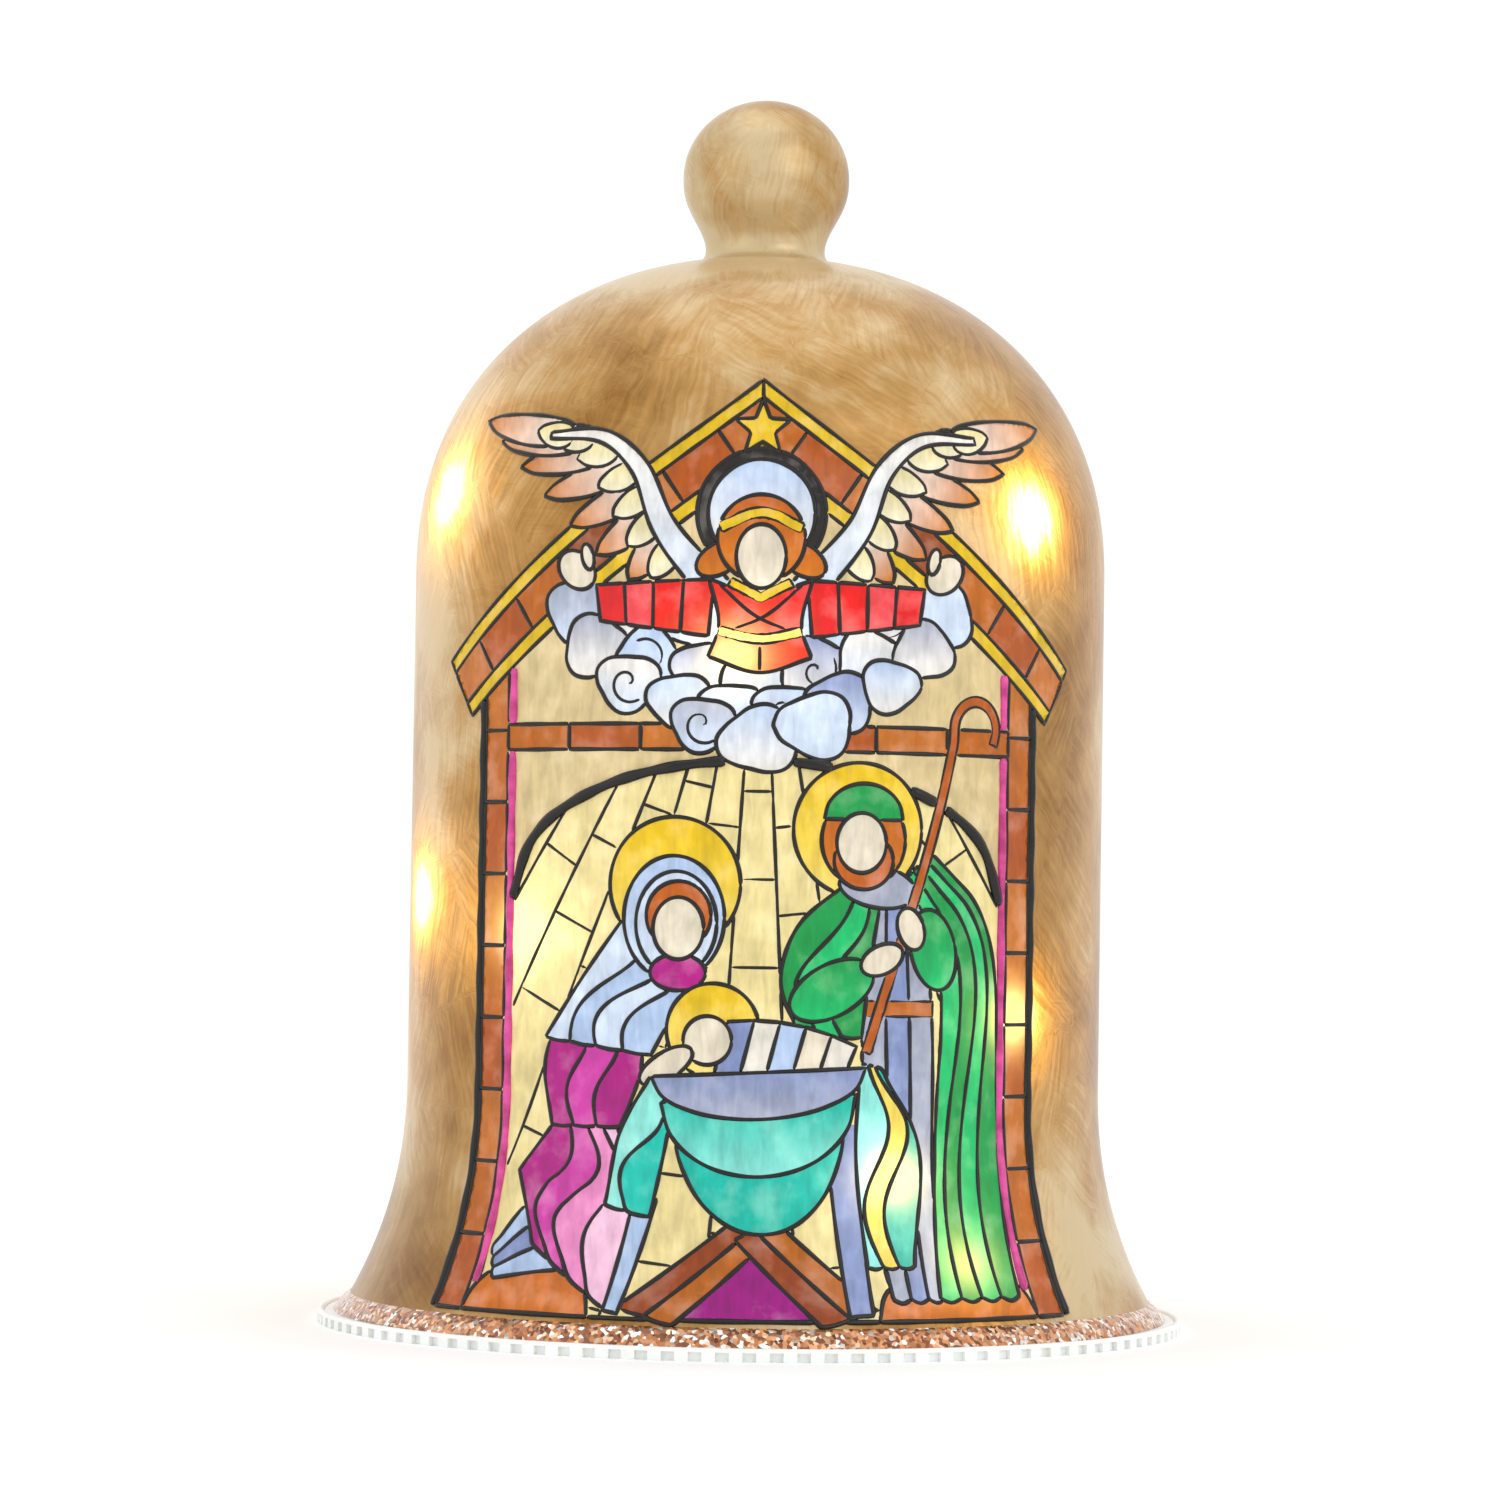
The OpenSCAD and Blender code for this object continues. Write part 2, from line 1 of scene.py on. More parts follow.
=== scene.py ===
import bmesh
import bpy
import numpy as np
from mathutils import Euler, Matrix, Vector
from mathutils.geometry import delaunay_2d_cdt


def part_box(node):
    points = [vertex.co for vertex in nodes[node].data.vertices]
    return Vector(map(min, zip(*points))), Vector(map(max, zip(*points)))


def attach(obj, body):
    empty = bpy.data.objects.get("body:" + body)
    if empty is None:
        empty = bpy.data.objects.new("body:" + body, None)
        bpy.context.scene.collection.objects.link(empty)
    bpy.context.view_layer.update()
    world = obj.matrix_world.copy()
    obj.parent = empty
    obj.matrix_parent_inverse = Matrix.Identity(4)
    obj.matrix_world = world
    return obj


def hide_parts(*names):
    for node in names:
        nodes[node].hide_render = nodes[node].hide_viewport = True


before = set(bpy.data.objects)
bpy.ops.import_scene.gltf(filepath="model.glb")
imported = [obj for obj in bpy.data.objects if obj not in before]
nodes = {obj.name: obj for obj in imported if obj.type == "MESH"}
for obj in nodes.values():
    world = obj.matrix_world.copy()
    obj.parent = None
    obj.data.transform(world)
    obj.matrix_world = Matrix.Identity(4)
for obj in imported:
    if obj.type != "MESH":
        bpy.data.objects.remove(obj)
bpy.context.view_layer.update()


# ---- Table, studio light and camera ---------------------------------------------------
# A pale matte table top under three large soft boxes, in a pale room: the plain setting in
# which such a lamp is shown. The camera stands a metre away, level with the lower body.


def linear(code):
    """An sRGB hex colour as linear red, green, blue and full alpha."""
    c = np.array([int(code[i : i + 2], 16) for i in (1, 3, 5)]) / 255
    c = np.where(c <= 0.04045, c / 12.92, ((c + 0.055) / 1.055) ** 2.4)
    return (*[float(x) for x in c], 1.0)


def add(tree, kind, settings=None, inputs=None):
    """Adds a shader node with its settings, and its inputs given as values or as the sockets
    that feed them."""
    node = tree.nodes.new("ShaderNode" + kind)
    for name, value in (settings or {}).items():
        setattr(node, name, value)
    for name, value in (inputs or {}).items():
        if isinstance(value, bpy.types.NodeSocket):
            tree.links.new(value, node.inputs[name])
        else:
            node.inputs[name].default_value = value
    return node


def new_material(name):
    """An empty material and its node tree."""
    material = bpy.data.materials.new(name)
    material.use_nodes = True
    material.node_tree.nodes.clear()
    return material, material.node_tree


def mesh_object(name, points, faces, smooth=True):
    """A mesh object from an array of points in metres and the faces between them."""
    mesh = bpy.data.meshes.new(name)
    mesh.from_pydata(points, [], faces)
    mesh.polygons.foreach_set("use_smooth", np.full(len(mesh.polygons), smooth))
    obj = bpy.data.objects.new(name, mesh)
    bpy.context.collection.objects.link(obj)
    return obj


scene = bpy.context.scene
scene.view_settings.view_transform = "Standard"

table_matter, tree = new_material("matte white paper")
grain = add(tree, "TexNoise", None, {"Scale": 90.0, "Detail": 3.0})
tone = add(tree, "ValToRGB", None, {0: grain.outputs[0]})
tone.color_ramp.elements[0].color = linear("#fbfbfa")
tone.color_ramp.elements[1].color = linear("#ffffff")
shader = add(tree, "BsdfPrincipled", None, {"Base Color": tone.outputs[0], "Roughness": 0.9})
add(tree, "OutputMaterial", None, {0: shader.outputs[0]})

table_half, table_rows = 2.5, 9
table_line = np.linspace(-table_half, table_half, table_rows)
table_x, table_y = np.meshgrid(table_line, table_line)
table_points = np.stack([table_x.ravel(), table_y.ravel(), 0 * table_x.ravel()], 1)
corner = (np.arange(table_rows - 1)[:, None] * table_rows + np.arange(table_rows - 1)).ravel()
table_faces = [corner, corner + 1, corner + table_rows + 1, corner + table_rows]
table_top = mesh_object("table_top", table_points, np.stack(table_faces, 1))
table_top.data.materials.append(table_matter)

room = bpy.data.worlds.new("pale room")
room.use_nodes = True
room.node_tree.nodes["Background"].inputs[0].default_value = linear("#ffffff")
room.node_tree.nodes["Background"].inputs[1].default_value = 1.04
scene.world = room


bell_middle = Vector((0, 0, 0.13))


def soft_box(name, place, size, watts):
    """A square area light at that place, turned towards the middle of the bell."""
    lamp = bpy.data.lights.new(name, "AREA")
    lamp.size = size
    lamp.energy = watts
    obj = bpy.data.objects.new(name, lamp)
    obj.location = place
    obj.rotation_euler = (bell_middle - Vector(place)).to_track_quat("-Z", "Y").to_euler()
    bpy.context.collection.objects.link(obj)


soft_box("key box", (0.9, -1.0, 0.8), 1.0, 3.0)
soft_box("fill box", (-1.1, -0.8, 0.5), 1.1, 1.2)
soft_box("top box", (0.0, 0.1, 1.3), 1.0, 1.6)

camera = bpy.data.objects.new("camera", bpy.data.cameras.new("camera"))
camera.data.sensor_width = 36
camera.data.lens = 114.3
camera.data.clip_start = 0.05
camera.location = (-0.0016, -0.989, 0.084)
tilt_up, roll = 2.0, 0.87
camera.rotation_euler = Euler((np.radians(90 + tilt_up), 0.0, 0.0))
camera.rotation_euler.rotate_axis("Z", np.radians(roll))
bpy.context.collection.objects.link(camera)
scene.camera = camera


# ---- Blown glass bell --------------------------------------------------------------------
# One bubble of clear glass, blown in a mould with its knob, cut off at the foot. Its inside is
# lacquered with a pearly gold paint that dries in crystals like frost ferns, and the light of the
# small lamps behind it is painted on as a glow, worked out from where each lamp is.

body_r = 0.0714
glass_t = 0.0025
foot_z = 0.0022
flare_w, flare_h, flare_power = 0.013, 0.0478, 2.2
spring_z, dome_h, dome_power = 0.1540, 0.0665, 2.2
knob_r, neck_r, neck_fillet = 0.0173, 0.0124, 0.003
knob_rise, knob_cap, knob_waist = 0.0152, 0.0163, 1.25


def glass_radius(z):
    """Outer radius at a height below the crown: the flare adds a power of the depth below its
    top to the straight wall, and the dome is a superellipse above its spring line."""
    flare = flare_w * np.clip((foot_z + flare_h - z) / flare_h, 0, 1) ** flare_power
    rise = np.clip((z - spring_z) / dome_h, 0, 1)
    return (body_r + flare) * (1 - rise**dome_power) ** (1 / dome_power)


def glass_profile(inset):
    """The bell's outline as (radius, height) from foot to top, set in from the outer face: flare,
    wall and dome by glass_radius, a quarter circle into the neck, a squared cosine out to the
    knob's widest place, and a quarter ellipse over its top."""
    z = np.concatenate(
        [
            np.linspace(foot_z, foot_z + flare_h, 48, endpoint=False),
            np.linspace(foot_z + flare_h, spring_z, 60, endpoint=False),
        ]
    )
    wall = np.stack([glass_radius(z) - inset, z], 1)
    fillet_x = neck_r + neck_fillet
    end = np.arccos((fillet_x / (body_r - inset)) ** (dome_power / 2))
    a = np.linspace(0, end, 90)
    dome = np.stack(
        [
            (body_r - inset) * np.cos(a) ** (2 / dome_power),
            spring_z + (dome_h - inset) * np.sin(a) ** (2 / dome_power),
        ],
        1,
    )
    crown = spring_z + dome_h * (1 - (fillet_x / body_r) ** dome_power) ** (1 / dome_power)
    neck_z = crown + neck_fillet
    a = np.radians(np.linspace(260, 180, 10))
    fillet = np.stack(
        [
            fillet_x + (neck_fillet + inset) * np.cos(a),
            neck_z + (neck_fillet + inset) * np.sin(a),
        ],
        1,
    )
    knob_z = neck_z + knob_rise
    t = np.linspace(1, 0, 28)[1:-1]
    share = np.cos(np.pi / 2 * t**knob_waist) ** 2
    swell = np.stack([neck_r - inset + (knob_r - neck_r) * share, knob_z - knob_rise * t], 1)
    a = np.linspace(0, np.pi / 2, 30)
    cap = np.stack(
        [(knob_r - inset) * np.cos(a), knob_z + (knob_cap - inset) * np.sin(a)],
        1,
    )
    cap[-1, 0] = 0
    return np.concatenate([wall, dome, fillet, swell, cap])


def turned(name, profile, sides):
    """A closed profile turned round the Z axis: point (r, z) at angle a goes to
    (r sin a, -r cos a, z). The UV map holds the distance round the body from the front, and the
    distance along the profile, both in metres."""
    a = np.linspace(-np.pi, np.pi, sides + 1)[:-1]
    r, z = profile[:, 0, None], profile[:, 1, None]
    points = np.stack([r * np.sin(a), -r * np.cos(a), z + 0 * a], -1).reshape(-1, 3)
    rows, columns = np.meshgrid(np.arange(len(profile)), np.arange(sides), indexing="ij")
    next_row, next_column = (rows + 1) % len(profile), (columns + 1) % sides
    faces = np.stack(
        [
            rows * sides + columns,
            rows * sides + next_column,
            next_row * sides + next_column,
            next_row * sides + columns,
        ],
        -1,
    ).reshape(-1, 4)
    obj = mesh_object(name, points, faces)
    step = np.linalg.norm(np.diff(profile, axis=0, append=profile[:1]), axis=1)
    along = np.concatenate([[0], np.cumsum(step)])
    u = (np.stack([columns, columns + 1, columns + 1, columns], -1) / sides - 0.5) * 2 * np.pi
    v = np.stack([along[rows], along[rows], along[rows + 1], along[rows + 1]], -1)
    uv = np.stack([u * body_r, v], -1).reshape(-1)
    obj.data.uv_layers.new(name="UVMap").data.foreach_set("uv", uv)
    return obj


def tidy(obj):
    """Merges doubles, so that seams and poles close, and turns all faces outwards."""
    work = bmesh.new()
    work.from_mesh(obj.data)
    bmesh.ops.remove_doubles(work, verts=work.verts, dist=1e-6)
    bmesh.ops.recalc_face_normals(work, faces=work.faces)
    work.to_mesh(obj.data)
    work.free()


bead_reach = 0.006


def lamp_places():
    """The middle of each light bead: its vertices lie within 6 mm of the first one found."""
    mesh = nodes["light_beads"].data
    left = np.empty(len(mesh.vertices) * 3)
    mesh.vertices.foreach_get("co", left)
    left = left.reshape(-1, 3)
    places = []
    while len(left):
        near = np.linalg.norm(left - left[0], axis=1) < bead_reach
        places.append((left[near].min(0) + left[near].max(0)) / 2)
        left = left[~near]
    return np.array(places)


lamps = lamp_places()


full_shine = 0.008


def shine(points, normals):
    """Light that reaches each point of the glass from the lamps behind it: the cosine to the
    surface over the square of the distance, summed, and 1 at 8 mm straight in front of one."""
    total = np.zeros(len(points))
    for place in lamps:
        ray = points - place
        distance = np.linalg.norm(ray, axis=1)
        total += np.clip((ray * normals).sum(1) / distance, 0, 1) * (full_shine / distance) ** 2
    return total


def store(obj, name, values):
    """Keeps one number for each vertex as an attribute for the material."""
    attribute = obj.data.attributes.new(name, "FLOAT", "POINT")
    attribute.data.foreach_set("value", values.astype(np.float32))


def glow_on(obj):
    """Works out the lamps' shine on each vertex and stores it as the attribute 'shine'."""
    count = len(obj.data.vertices)
    points, normals = np.empty(count * 3), np.empty(count * 3)
    obj.data.vertices.foreach_get("co", points)
    obj.data.vertex_normals.foreach_get("vector", normals)
    store(obj, "shine", shine(points.reshape(-1, 3), normals.reshape(-1, 3)))


outside, inside = glass_profile(0), glass_profile(glass_t)
bell = turned("bell_glass_blown", np.concatenate([outside, inside[::-1]]), 256)
tidy(bell)
glow_on(bell)

# Frost lacquer: pearly gold in crystal strokes, some 15 mm long and a millimetre wide, with
# shorter and finer ones over them. Each patch lies its own way, over clouds of brown and cream
# 45 mm across. The mica in it makes it half metallic, and the clear glass gives a sharp gloss.
lacquer, tree = new_material("gold frost lacquer behind glass")
place = add(tree, "TexCoord").outputs["Object"]
facing = add(tree, "NewGeometry").outputs["Normal"]
wander = add(tree, "TexNoise", None, {"Vector": place, "Scale": 60.0, "Detail": 3.0})
wander = add(
    tree, "VectorMath", {"operation": "MULTIPLY_ADD"}, {0: wander.outputs["Color"], 1: (0.006,) * 3}
)
tree.links.new(place, wander.inputs[2])
across = add(
    tree, "VectorMath", {"operation": "CROSS_PRODUCT"}, {0: facing, 1: (0.0, 0.0, 1.0)}
)
across = add(tree, "VectorMath", {"operation": "NORMALIZE"}, {0: across.outputs[0]}).outputs[0]
upward = add(tree, "VectorMath", {"operation": "CROSS_PRODUCT"}, {0: across, 1: facing}).outputs[0]


def strokes(patch, length, width, spread, bend):
    """Crystal strokes: patches of that size, each with its strokes turned up to spread radians
    either side of upright and bent with the distance from the patch's middle."""
    cell_of = add(
        tree, "TexVoronoi", {"feature": "SMOOTH_F1"},
        {"Vector": wander.outputs[0], "Scale": 1 / patch, "Smoothness": 0.12},
    )
    middle = add(
        tree, "VectorMath", {"operation": "SUBTRACT"},
        {0: wander.outputs[0], 1: cell_of.outputs["Position"]},
    ).outputs[0]
    chance = add(tree, "SeparateColor", None, {0: cell_of.outputs["Color"]})
    turn = add(
        tree, "Math", {"operation": "MULTIPLY_ADD"}, {0: chance.outputs[0], 1: 2 * spread, 2: -spread}
    )
    turn = add(
        tree, "Math", {"operation": "MULTIPLY_ADD"},
        {0: cell_of.outputs["Distance"], 1: bend, 2: turn.outputs[0]},
    )
    x = add(tree, "VectorMath", {"operation": "DOT_PRODUCT"}, {0: middle, 1: across}).outputs[1]
    y = add(tree, "VectorMath", {"operation": "DOT_PRODUCT"}, {0: middle, 1: upward}).outputs[1]
    flat_place = add(tree, "CombineXYZ", None, {0: x, 1: y})
    turned_place = add(
        tree, "VectorRotate", {"rotation_type": "Z_AXIS"},
        {"Vector": flat_place.outputs[0], "Angle": turn.outputs[0]},
    )
    scaled = add(
        tree, "VectorMath", {"operation": "MULTIPLY"},
        {0: turned_place.outputs[0], 1: (1 / width, 1 / length, 1.0)},
    )
    own = add(
        tree, "VectorMath", {"operation": "MULTIPLY_ADD"},
        {0: cell_of.outputs["Color"], 1: (40.0,) * 3, 2: scaled.outputs[0]},
    )
    return add(
        tree, "TexNoise", None,
        {"Vector": own.outputs[0], "Scale": 1.0, "Detail": 3.0, "Roughness": 0.52},
    ).outputs[0]


long_strokes = strokes(0.022, 0.015, 0.0010, 0.9, 0.3)
short_strokes = strokes(0.010, 0.007, 0.0006, 1.4, 0.4)
frost = add(tree, "Mix", None, {0: 0.3, 2: long_strokes, 3: short_strokes}).outputs[0]
cloud = add(
    tree, "TexNoise", None, {"Vector": place, "Scale": 22.0, "Detail": 5.0, "Roughness": 0.58}
).outputs[0]
height = add(tree, "SeparateXYZ", None, {0: place}).outputs[2]
# Painted light and shade: the lacquer is made lighter towards the crown as painted light, and darker on the
# knob as painted shade.
crown = add(tree, "MapRange", None, {0: height, 1: 0.195, 2: 0.222, 3: 0.0, 4: 0.09})
knob_painted_shade = add(tree, "MapRange", None, {0: height, 1: 0.222, 2: 0.23, 3: 0.0, 4: -0.05})
shade = add(tree, "Mix", None, {0: 0.17, 2: cloud, 3: frost}).outputs[0]
shade = add(tree, "Math", {"operation": "ADD"}, {0: shade, 1: crown.outputs[0]}).outputs[0]
shade = add(tree, "Math", {"operation": "ADD"}, {0: shade, 1: knob_painted_shade.outputs[0]}).outputs[0]
gold = add(tree, "ValToRGB", None, {0: shade})
gold.color_ramp.elements[0].position = 0.32
gold.color_ramp.elements[0].color = linear("#6f4517")
gold.color_ramp.elements[1].position = 0.62
gold.color_ramp.elements[1].color = linear("#cdb78e")
for share, code in ((0.41, "#916831"), (0.51, "#b28b53")):
    gold.color_ramp.elements.new(share).color = linear(code)
# Painted glow: the light of the lamps behind the glass is put on as emission, from the stored shine, brighter
# where the frost strokes are strong.
lit = add(tree, "Attribute", {"attribute_name": "shine"}).outputs["Fac"]
spark = add(tree, "MapRange", None, {0: frost, 1: 0.38, 2: 0.6, 3: 0.8, 4: 1.25})
lit = add(tree, "Math", {"operation": "MULTIPLY"}, {0: lit, 1: spark.outputs[0]})
bump = add(tree, "Bump", None, {"Strength": 0.06, "Distance": 0.0003, "Height": frost})
painted_glow = add(tree, "ValToRGB", None, {0: lit.outputs[0]})
painted_glow.color_ramp.elements[0].position = 0.05
painted_glow.color_ramp.elements[0].color = linear("#000000")
painted_glow.color_ramp.elements[1].position = 1.0
painted_glow.color_ramp.elements[1].color = linear("#fff8e2")
for share, code in ((0.12, "#472b05"), (0.28, "#a96d12"), (0.5, "#f2bc48")):
    painted_glow.color_ramp.elements.new(share).color = linear(code)
shader = add(
    tree,
    "BsdfPrincipled",
    None,
    {
        "Base Color": gold.outputs[0],
        "Metallic": 0.5,
        "Roughness": 0.32,
        "Normal": bump.outputs[0],
        "Specular IOR Level": 0.1,
        "Coat Weight": 0.22,
        "Coat Roughness": 0.08,
        "Coat IOR": 1.5,
        "Emission Color": painted_glow.outputs[0],
        "Emission Strength": 1.9,
    },
)
add(tree, "OutputMaterial", None, {0: shader.outputs[0]})
bell.data.materials.append(lacquer)
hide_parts("bell_glass")
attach(bell, "bell_on_base")


# ---- Picture on the glass: the drawing ------------------------------------------------------
# A stable with an angel, two figures and a manger, in the manner of a leaded window. It is laid
# out flat in millimetres, x round the body from its front and z up, from plain shapes: ovals,
# arcs, boards and cloth parted into strips. Each cell covers what lies under it.

cells = []
lines = []


def curve(points, closed, step=0.25):
    """A smooth line through the points. Each span is a Hermite curve; the slope at a point is
    the mean of its two spans' directions, and a bend sharper than 50 degrees stays a corner."""
    p = np.asarray(points, float)
    span = (np.roll(p, -1, 0) - p) if closed else np.diff(p, axis=0)
    size = np.linalg.norm(span, axis=1)
    way = span / size[:, None]
    before, after = np.roll(way, 1, 0), way
    if not closed:
        before = np.concatenate([way[:1], way])
        after = np.concatenate([way, way[-1:]])
    mean = before + after
    mean /= np.maximum(np.linalg.norm(mean, axis=1, keepdims=True), 1e-9)
    sharp = (before * after).sum(1, keepdims=True) < np.cos(np.radians(50))
    leave, arrive = np.where(sharp, after, mean), np.where(sharp, before, mean)
    if closed:
        start, end, arrive = p, np.roll(p, -1, 0), np.roll(arrive, -1, 0)
    else:
        start, end, leave, arrive = p[:-1], p[1:], leave[:-1], arrive[1:]
    count = np.maximum(2, np.ceil(size / step)).astype(int)
    i = np.repeat(np.arange(len(count)), count)
    t = ((np.arange(len(i)) - np.repeat(np.cumsum(count) - count, count)) / count[i])[:, None]
    d = size[i, None]
    out = (
        (2 * t**3 - 3 * t**2 + 1) * start[i]
        + (t**3 - 2 * t**2 + t) * leave[i] * d
        + (3 * t**2 - 2 * t**3) * end[i]
        + (t**3 - t**2) * arrive[i] * d
    )
    return out if closed else np.concatenate([out, p[-1:]])


def cell(tone, points, to=None, width=1.0, way=(0, -1)):
    """Paints one cell: its outline, run anticlockwise as the sign of its area says, its enamel,
    and the tone that it blends to along the direction way."""
    outline = curve(points, True)
    ahead = np.roll(outline, -1, 0)
    if (outline[:, 0] * ahead[:, 1] - ahead[:, 0] * outline[:, 1]).sum() < 0:
        outline = outline[::-1]
    cells.append((tone, to or tone, way, outline[::3]))
    lines.append((len(cells) - 1, np.concatenate([outline, outline[:2]]), width, "black"))


def line(points, width=0.85, paste="black"):
    """Draws one open line of paste over the cells painted so far."""
    lines.append((len(cells) - 1, curve(points, False), width, paste))


def oval(x, z, rx, rz, turn=0.0, first=0, last=360):
    """Points round an ellipse with half axes rx and rz, turned by that many degrees, or round
    the part of it between two angles."""
    steps = max(6, round(abs(last - first) / 24))
    a = np.radians(np.linspace(first, last, steps, endpoint=last - first < 360))
    c, s = np.cos(np.radians(turn)), np.sin(np.radians(turn))
    px, pz = rx * np.cos(a), rz * np.sin(a)
    return np.stack([x + c * px - s * pz, z + s * px + c * pz], 1)


def evenly(points, count):
    """Points at equal distances along a smooth line."""
    p = curve(points, False, 0.4)
    run = np.concatenate([[0], np.cumsum(np.linalg.norm(np.diff(p, axis=0), axis=1))])
    at = np.linspace(0, run[-1], count)
    return np.stack([np.interp(at, run, p[:, 0]), np.interp(at, run, p[:, 1])], 1)


def band(points, width, taper=1.0):
    """The outline of a band along a smooth line, as wide at its end as width times taper."""
    length = np.linalg.norm(np.diff(points, axis=0), axis=1).sum()
    p = evenly(points, max(8, round(length / 1.2)))
    way = np.gradient(p, axis=0)
    way /= np.linalg.norm(way, axis=1, keepdims=True)
    half = width / 2 * np.linspace(1, taper, len(p))[:, None]
    off = np.stack([-way[:, 1], way[:, 0]], 1) * half
    return np.concatenate([p + off, (p - off)[::-1]])


def drape(left, right, tones, bend=0.0, to=None):
    """Cloth between two edges that run from its top to its hem, parted into one strip for each
    tone. A fold keeps its share of the width, give or take bend times a full sine wave on the
    way down, and each strip's hem hangs a little lower in its middle."""
    a, b = evenly(left, 14), evenly(right, 14)
    wave = bend * np.sin(np.linspace(0, 2 * np.pi, 14))
    share = np.linspace(0, 1, len(tones) + 1)
    folds = [a + (b - a) * (s + wave * s * (1 - s) * 4)[:, None] for s in share]
    for number, tone in enumerate(tones):
        one, other = folds[number], folds[number + 1]
        hem = (one[-1] + other[-1]) / 2 + (one[-1] - one[-2]) * 0.12
        cell(tone, np.concatenate([one, [hem], other[::-1]]), to)


def other_side(points):
    """The same outline on the other side of the middle line."""
    return [(-x, z) for x, z in np.asarray(points)[::-1]]


# Back wall, and the arch with paved rays that fan down from the angel
cell("panel", [(-54, 7), (54, 7), (54, 135), (0, 175), (-54, 135)])
arch_z, arch_half, arch_rise = 87, 52, 27
arch = oval(0, arch_z, arch_half, arch_rise, 0, 0, 180)
cell("ray", np.concatenate([[(-52, 7), (52, 7)], arch]))
fan_top = np.array([0.0, 160.0])
fan = np.radians(np.linspace(-35, 35, 12))
ways = np.stack([np.sin(fan), -np.cos(fan)], 1)


def under_arch(points):
    """Which of the points lie under the arch and between its legs."""
    x, z = points[:, 0], points[:, 1]
    inside_arch = (x / arch_half) ** 2 + ((z - arch_z) / arch_rise) ** 2 < 1
    return (abs(x) < arch_half - 0.5) & (z > 7) & ((z < arch_z) | inside_arch)


for number, way in enumerate(ways):
    ray = fan_top + np.linspace(40, 160, 240)[:, None] * way
    ray = ray[under_arch(ray)]
    if len(ray) > 12:
        line(ray[[0, -1]])
    for course in np.arange(52 + 7 * (number % 2), 160, 17):
        joint = fan_top + course * ways[[number - 1, number]]
        if number and under_arch(joint).all():
            line(joint, 0.75)
line(arch, 2.4)

# Posts of brick with a black and a magenta bead beside them, and the cross-beam
for side in (-1, 1):
    foot, top = 7, 134
    steps = np.linspace(foot, top, 10)
    for number, (low, high) in enumerate(zip(steps, steps[1:])):
        tone = ("brick", "clay", "brick pale")[number % 3]
        cell(tone, [(side * 54, low), (side * 60.5, low), (side * 60.5, high), (side * 54, high)])
    line([(side * 61.4, top), (side * 61.4, foot)], 1.8)
    line([(side * 52.6, top - 2), (side * 52.6, foot)], 2.0, "magenta")
beam = np.linspace(-54, 54, 8)
for number, (start, end) in enumerate(zip(beam, beam[1:])):
    tone = ("clay", "brick", "brick pale")[number % 3]
    cell(tone, [(start, 116), (end, 116), (end, 121), (start, 121)])

# Ground
cell("ground", oval(-41, 7, 13, 10, 0, 0, 180))
cell("ground", oval(38, 7, 16, 11, 0, 0, 180))

# Standing figure: halo, tunic, cloak, staff and head
cell("halo", oval(20, 101, 13, 13), "halo light")
drape([(22, 90), (21, 62), (25, 11)], [(33, 90), (36, 62), (35, 11)], ("grey", "slate", "grey"))
cell("clay", [(21, 65), (36, 65), (36, 68), (21, 68)], width=0.75)
drape([(18, 91), (8, 82), (5, 71), (9, 61)], [(25, 90), (23, 78), (21, 61)], ("green", "leaf", "green"), 0.2)
cell("green", oval(15, 70, 9, 5, 28), "leaf")
drape([(30, 92), (37, 76), (37, 46), (34, 11)], [(35, 97), (48, 84), (52, 52), (51, 11)],
      ("leaf", "green", "leaf", "green"), 0.14)
cell("green", oval(36, 78, 5, 8, 15), "leaf")
cell("grey", oval(24, 90, 8, 4, -8))
cell("hair", oval(21, 99, 8.5, 9, 0), "hair light")
cell("green", oval(21, 103, 8, 7, 0, 0, 180))
cell("hair", oval(21, 95, 6, 5.5))
cell("flesh", oval(20.5, 98.5, 5, 5.8))
staff = np.concatenate([[(22, 58), (40, 118)], oval(45.4, 121, 5.2, 5.6, 0, 160, -30)])
cell("staff", band(staff, 2.0), width=0.75)
cell("flesh", oval(25, 76, 4.6, 2.8, 24))
cell("flesh", oval(31, 82, 2.8, 4.2, 20))

# Kneeling figure: halo, veil, face, sleeve and skirts
cell("halo", oval(-16, 90, 13, 13), "halo light")
drape([(-26, 32), (-44, 28), (-51, 19)], [(-26, 16), (-38, 15), (-49, 13)], ("sky", "slate", "sky"))
drape([(-40, 44), (-48, 34), (-42, 20)], [(-27, 44), (-22, 28), (-24, 8)],
      ("robe", "robe light", "pink", "pale pink"), 0.2)
drape([(-39, 66), (-43, 55), (-41, 43)], [(-22, 64), (-22, 54), (-26, 43)],
      ("robe", "robe light", "robe"), 0.1)
drape([(-24, 86), (-33, 74), (-43, 60)], [(-9, 74), (-15, 66), (-20, 57)],
      ("pale sky", "sky", "pale sky", "sky"), 0.15)
cell("sky", oval(-16, 83.5, 10, 12), "pale sky")
cell("pale sky", oval(-15.5, 82.5, 8, 10))
cell("robe", oval(-15, 73, 5.5, 3.5))
cell("hair", oval(-15, 84, 6.4, 6.6))
cell("flesh", oval(-15, 81.5, 5, 6))

# The child, wrapped in bands, on the manger's bed
cell("halo", oval(-8, 62, 9, 9), "halo light")
wraps = np.linspace(-5, 20, 6)
for number, (start, end) in enumerate(zip(wraps, wraps[1:])):
    top = 64 - 0.012 * np.array([start, end]) ** 2
    tone = ("slate", "pale", "sky", "flesh", "pale")[number]
    cell(tone, [(start, top[0]), (end, top[1]), (end - 3, 52), (start - 3, 52)])
cell("flesh", oval(-9, 60, 4.7, 4.7))
cell("flesh", oval(-17, 55, 6, 2.6, 32))

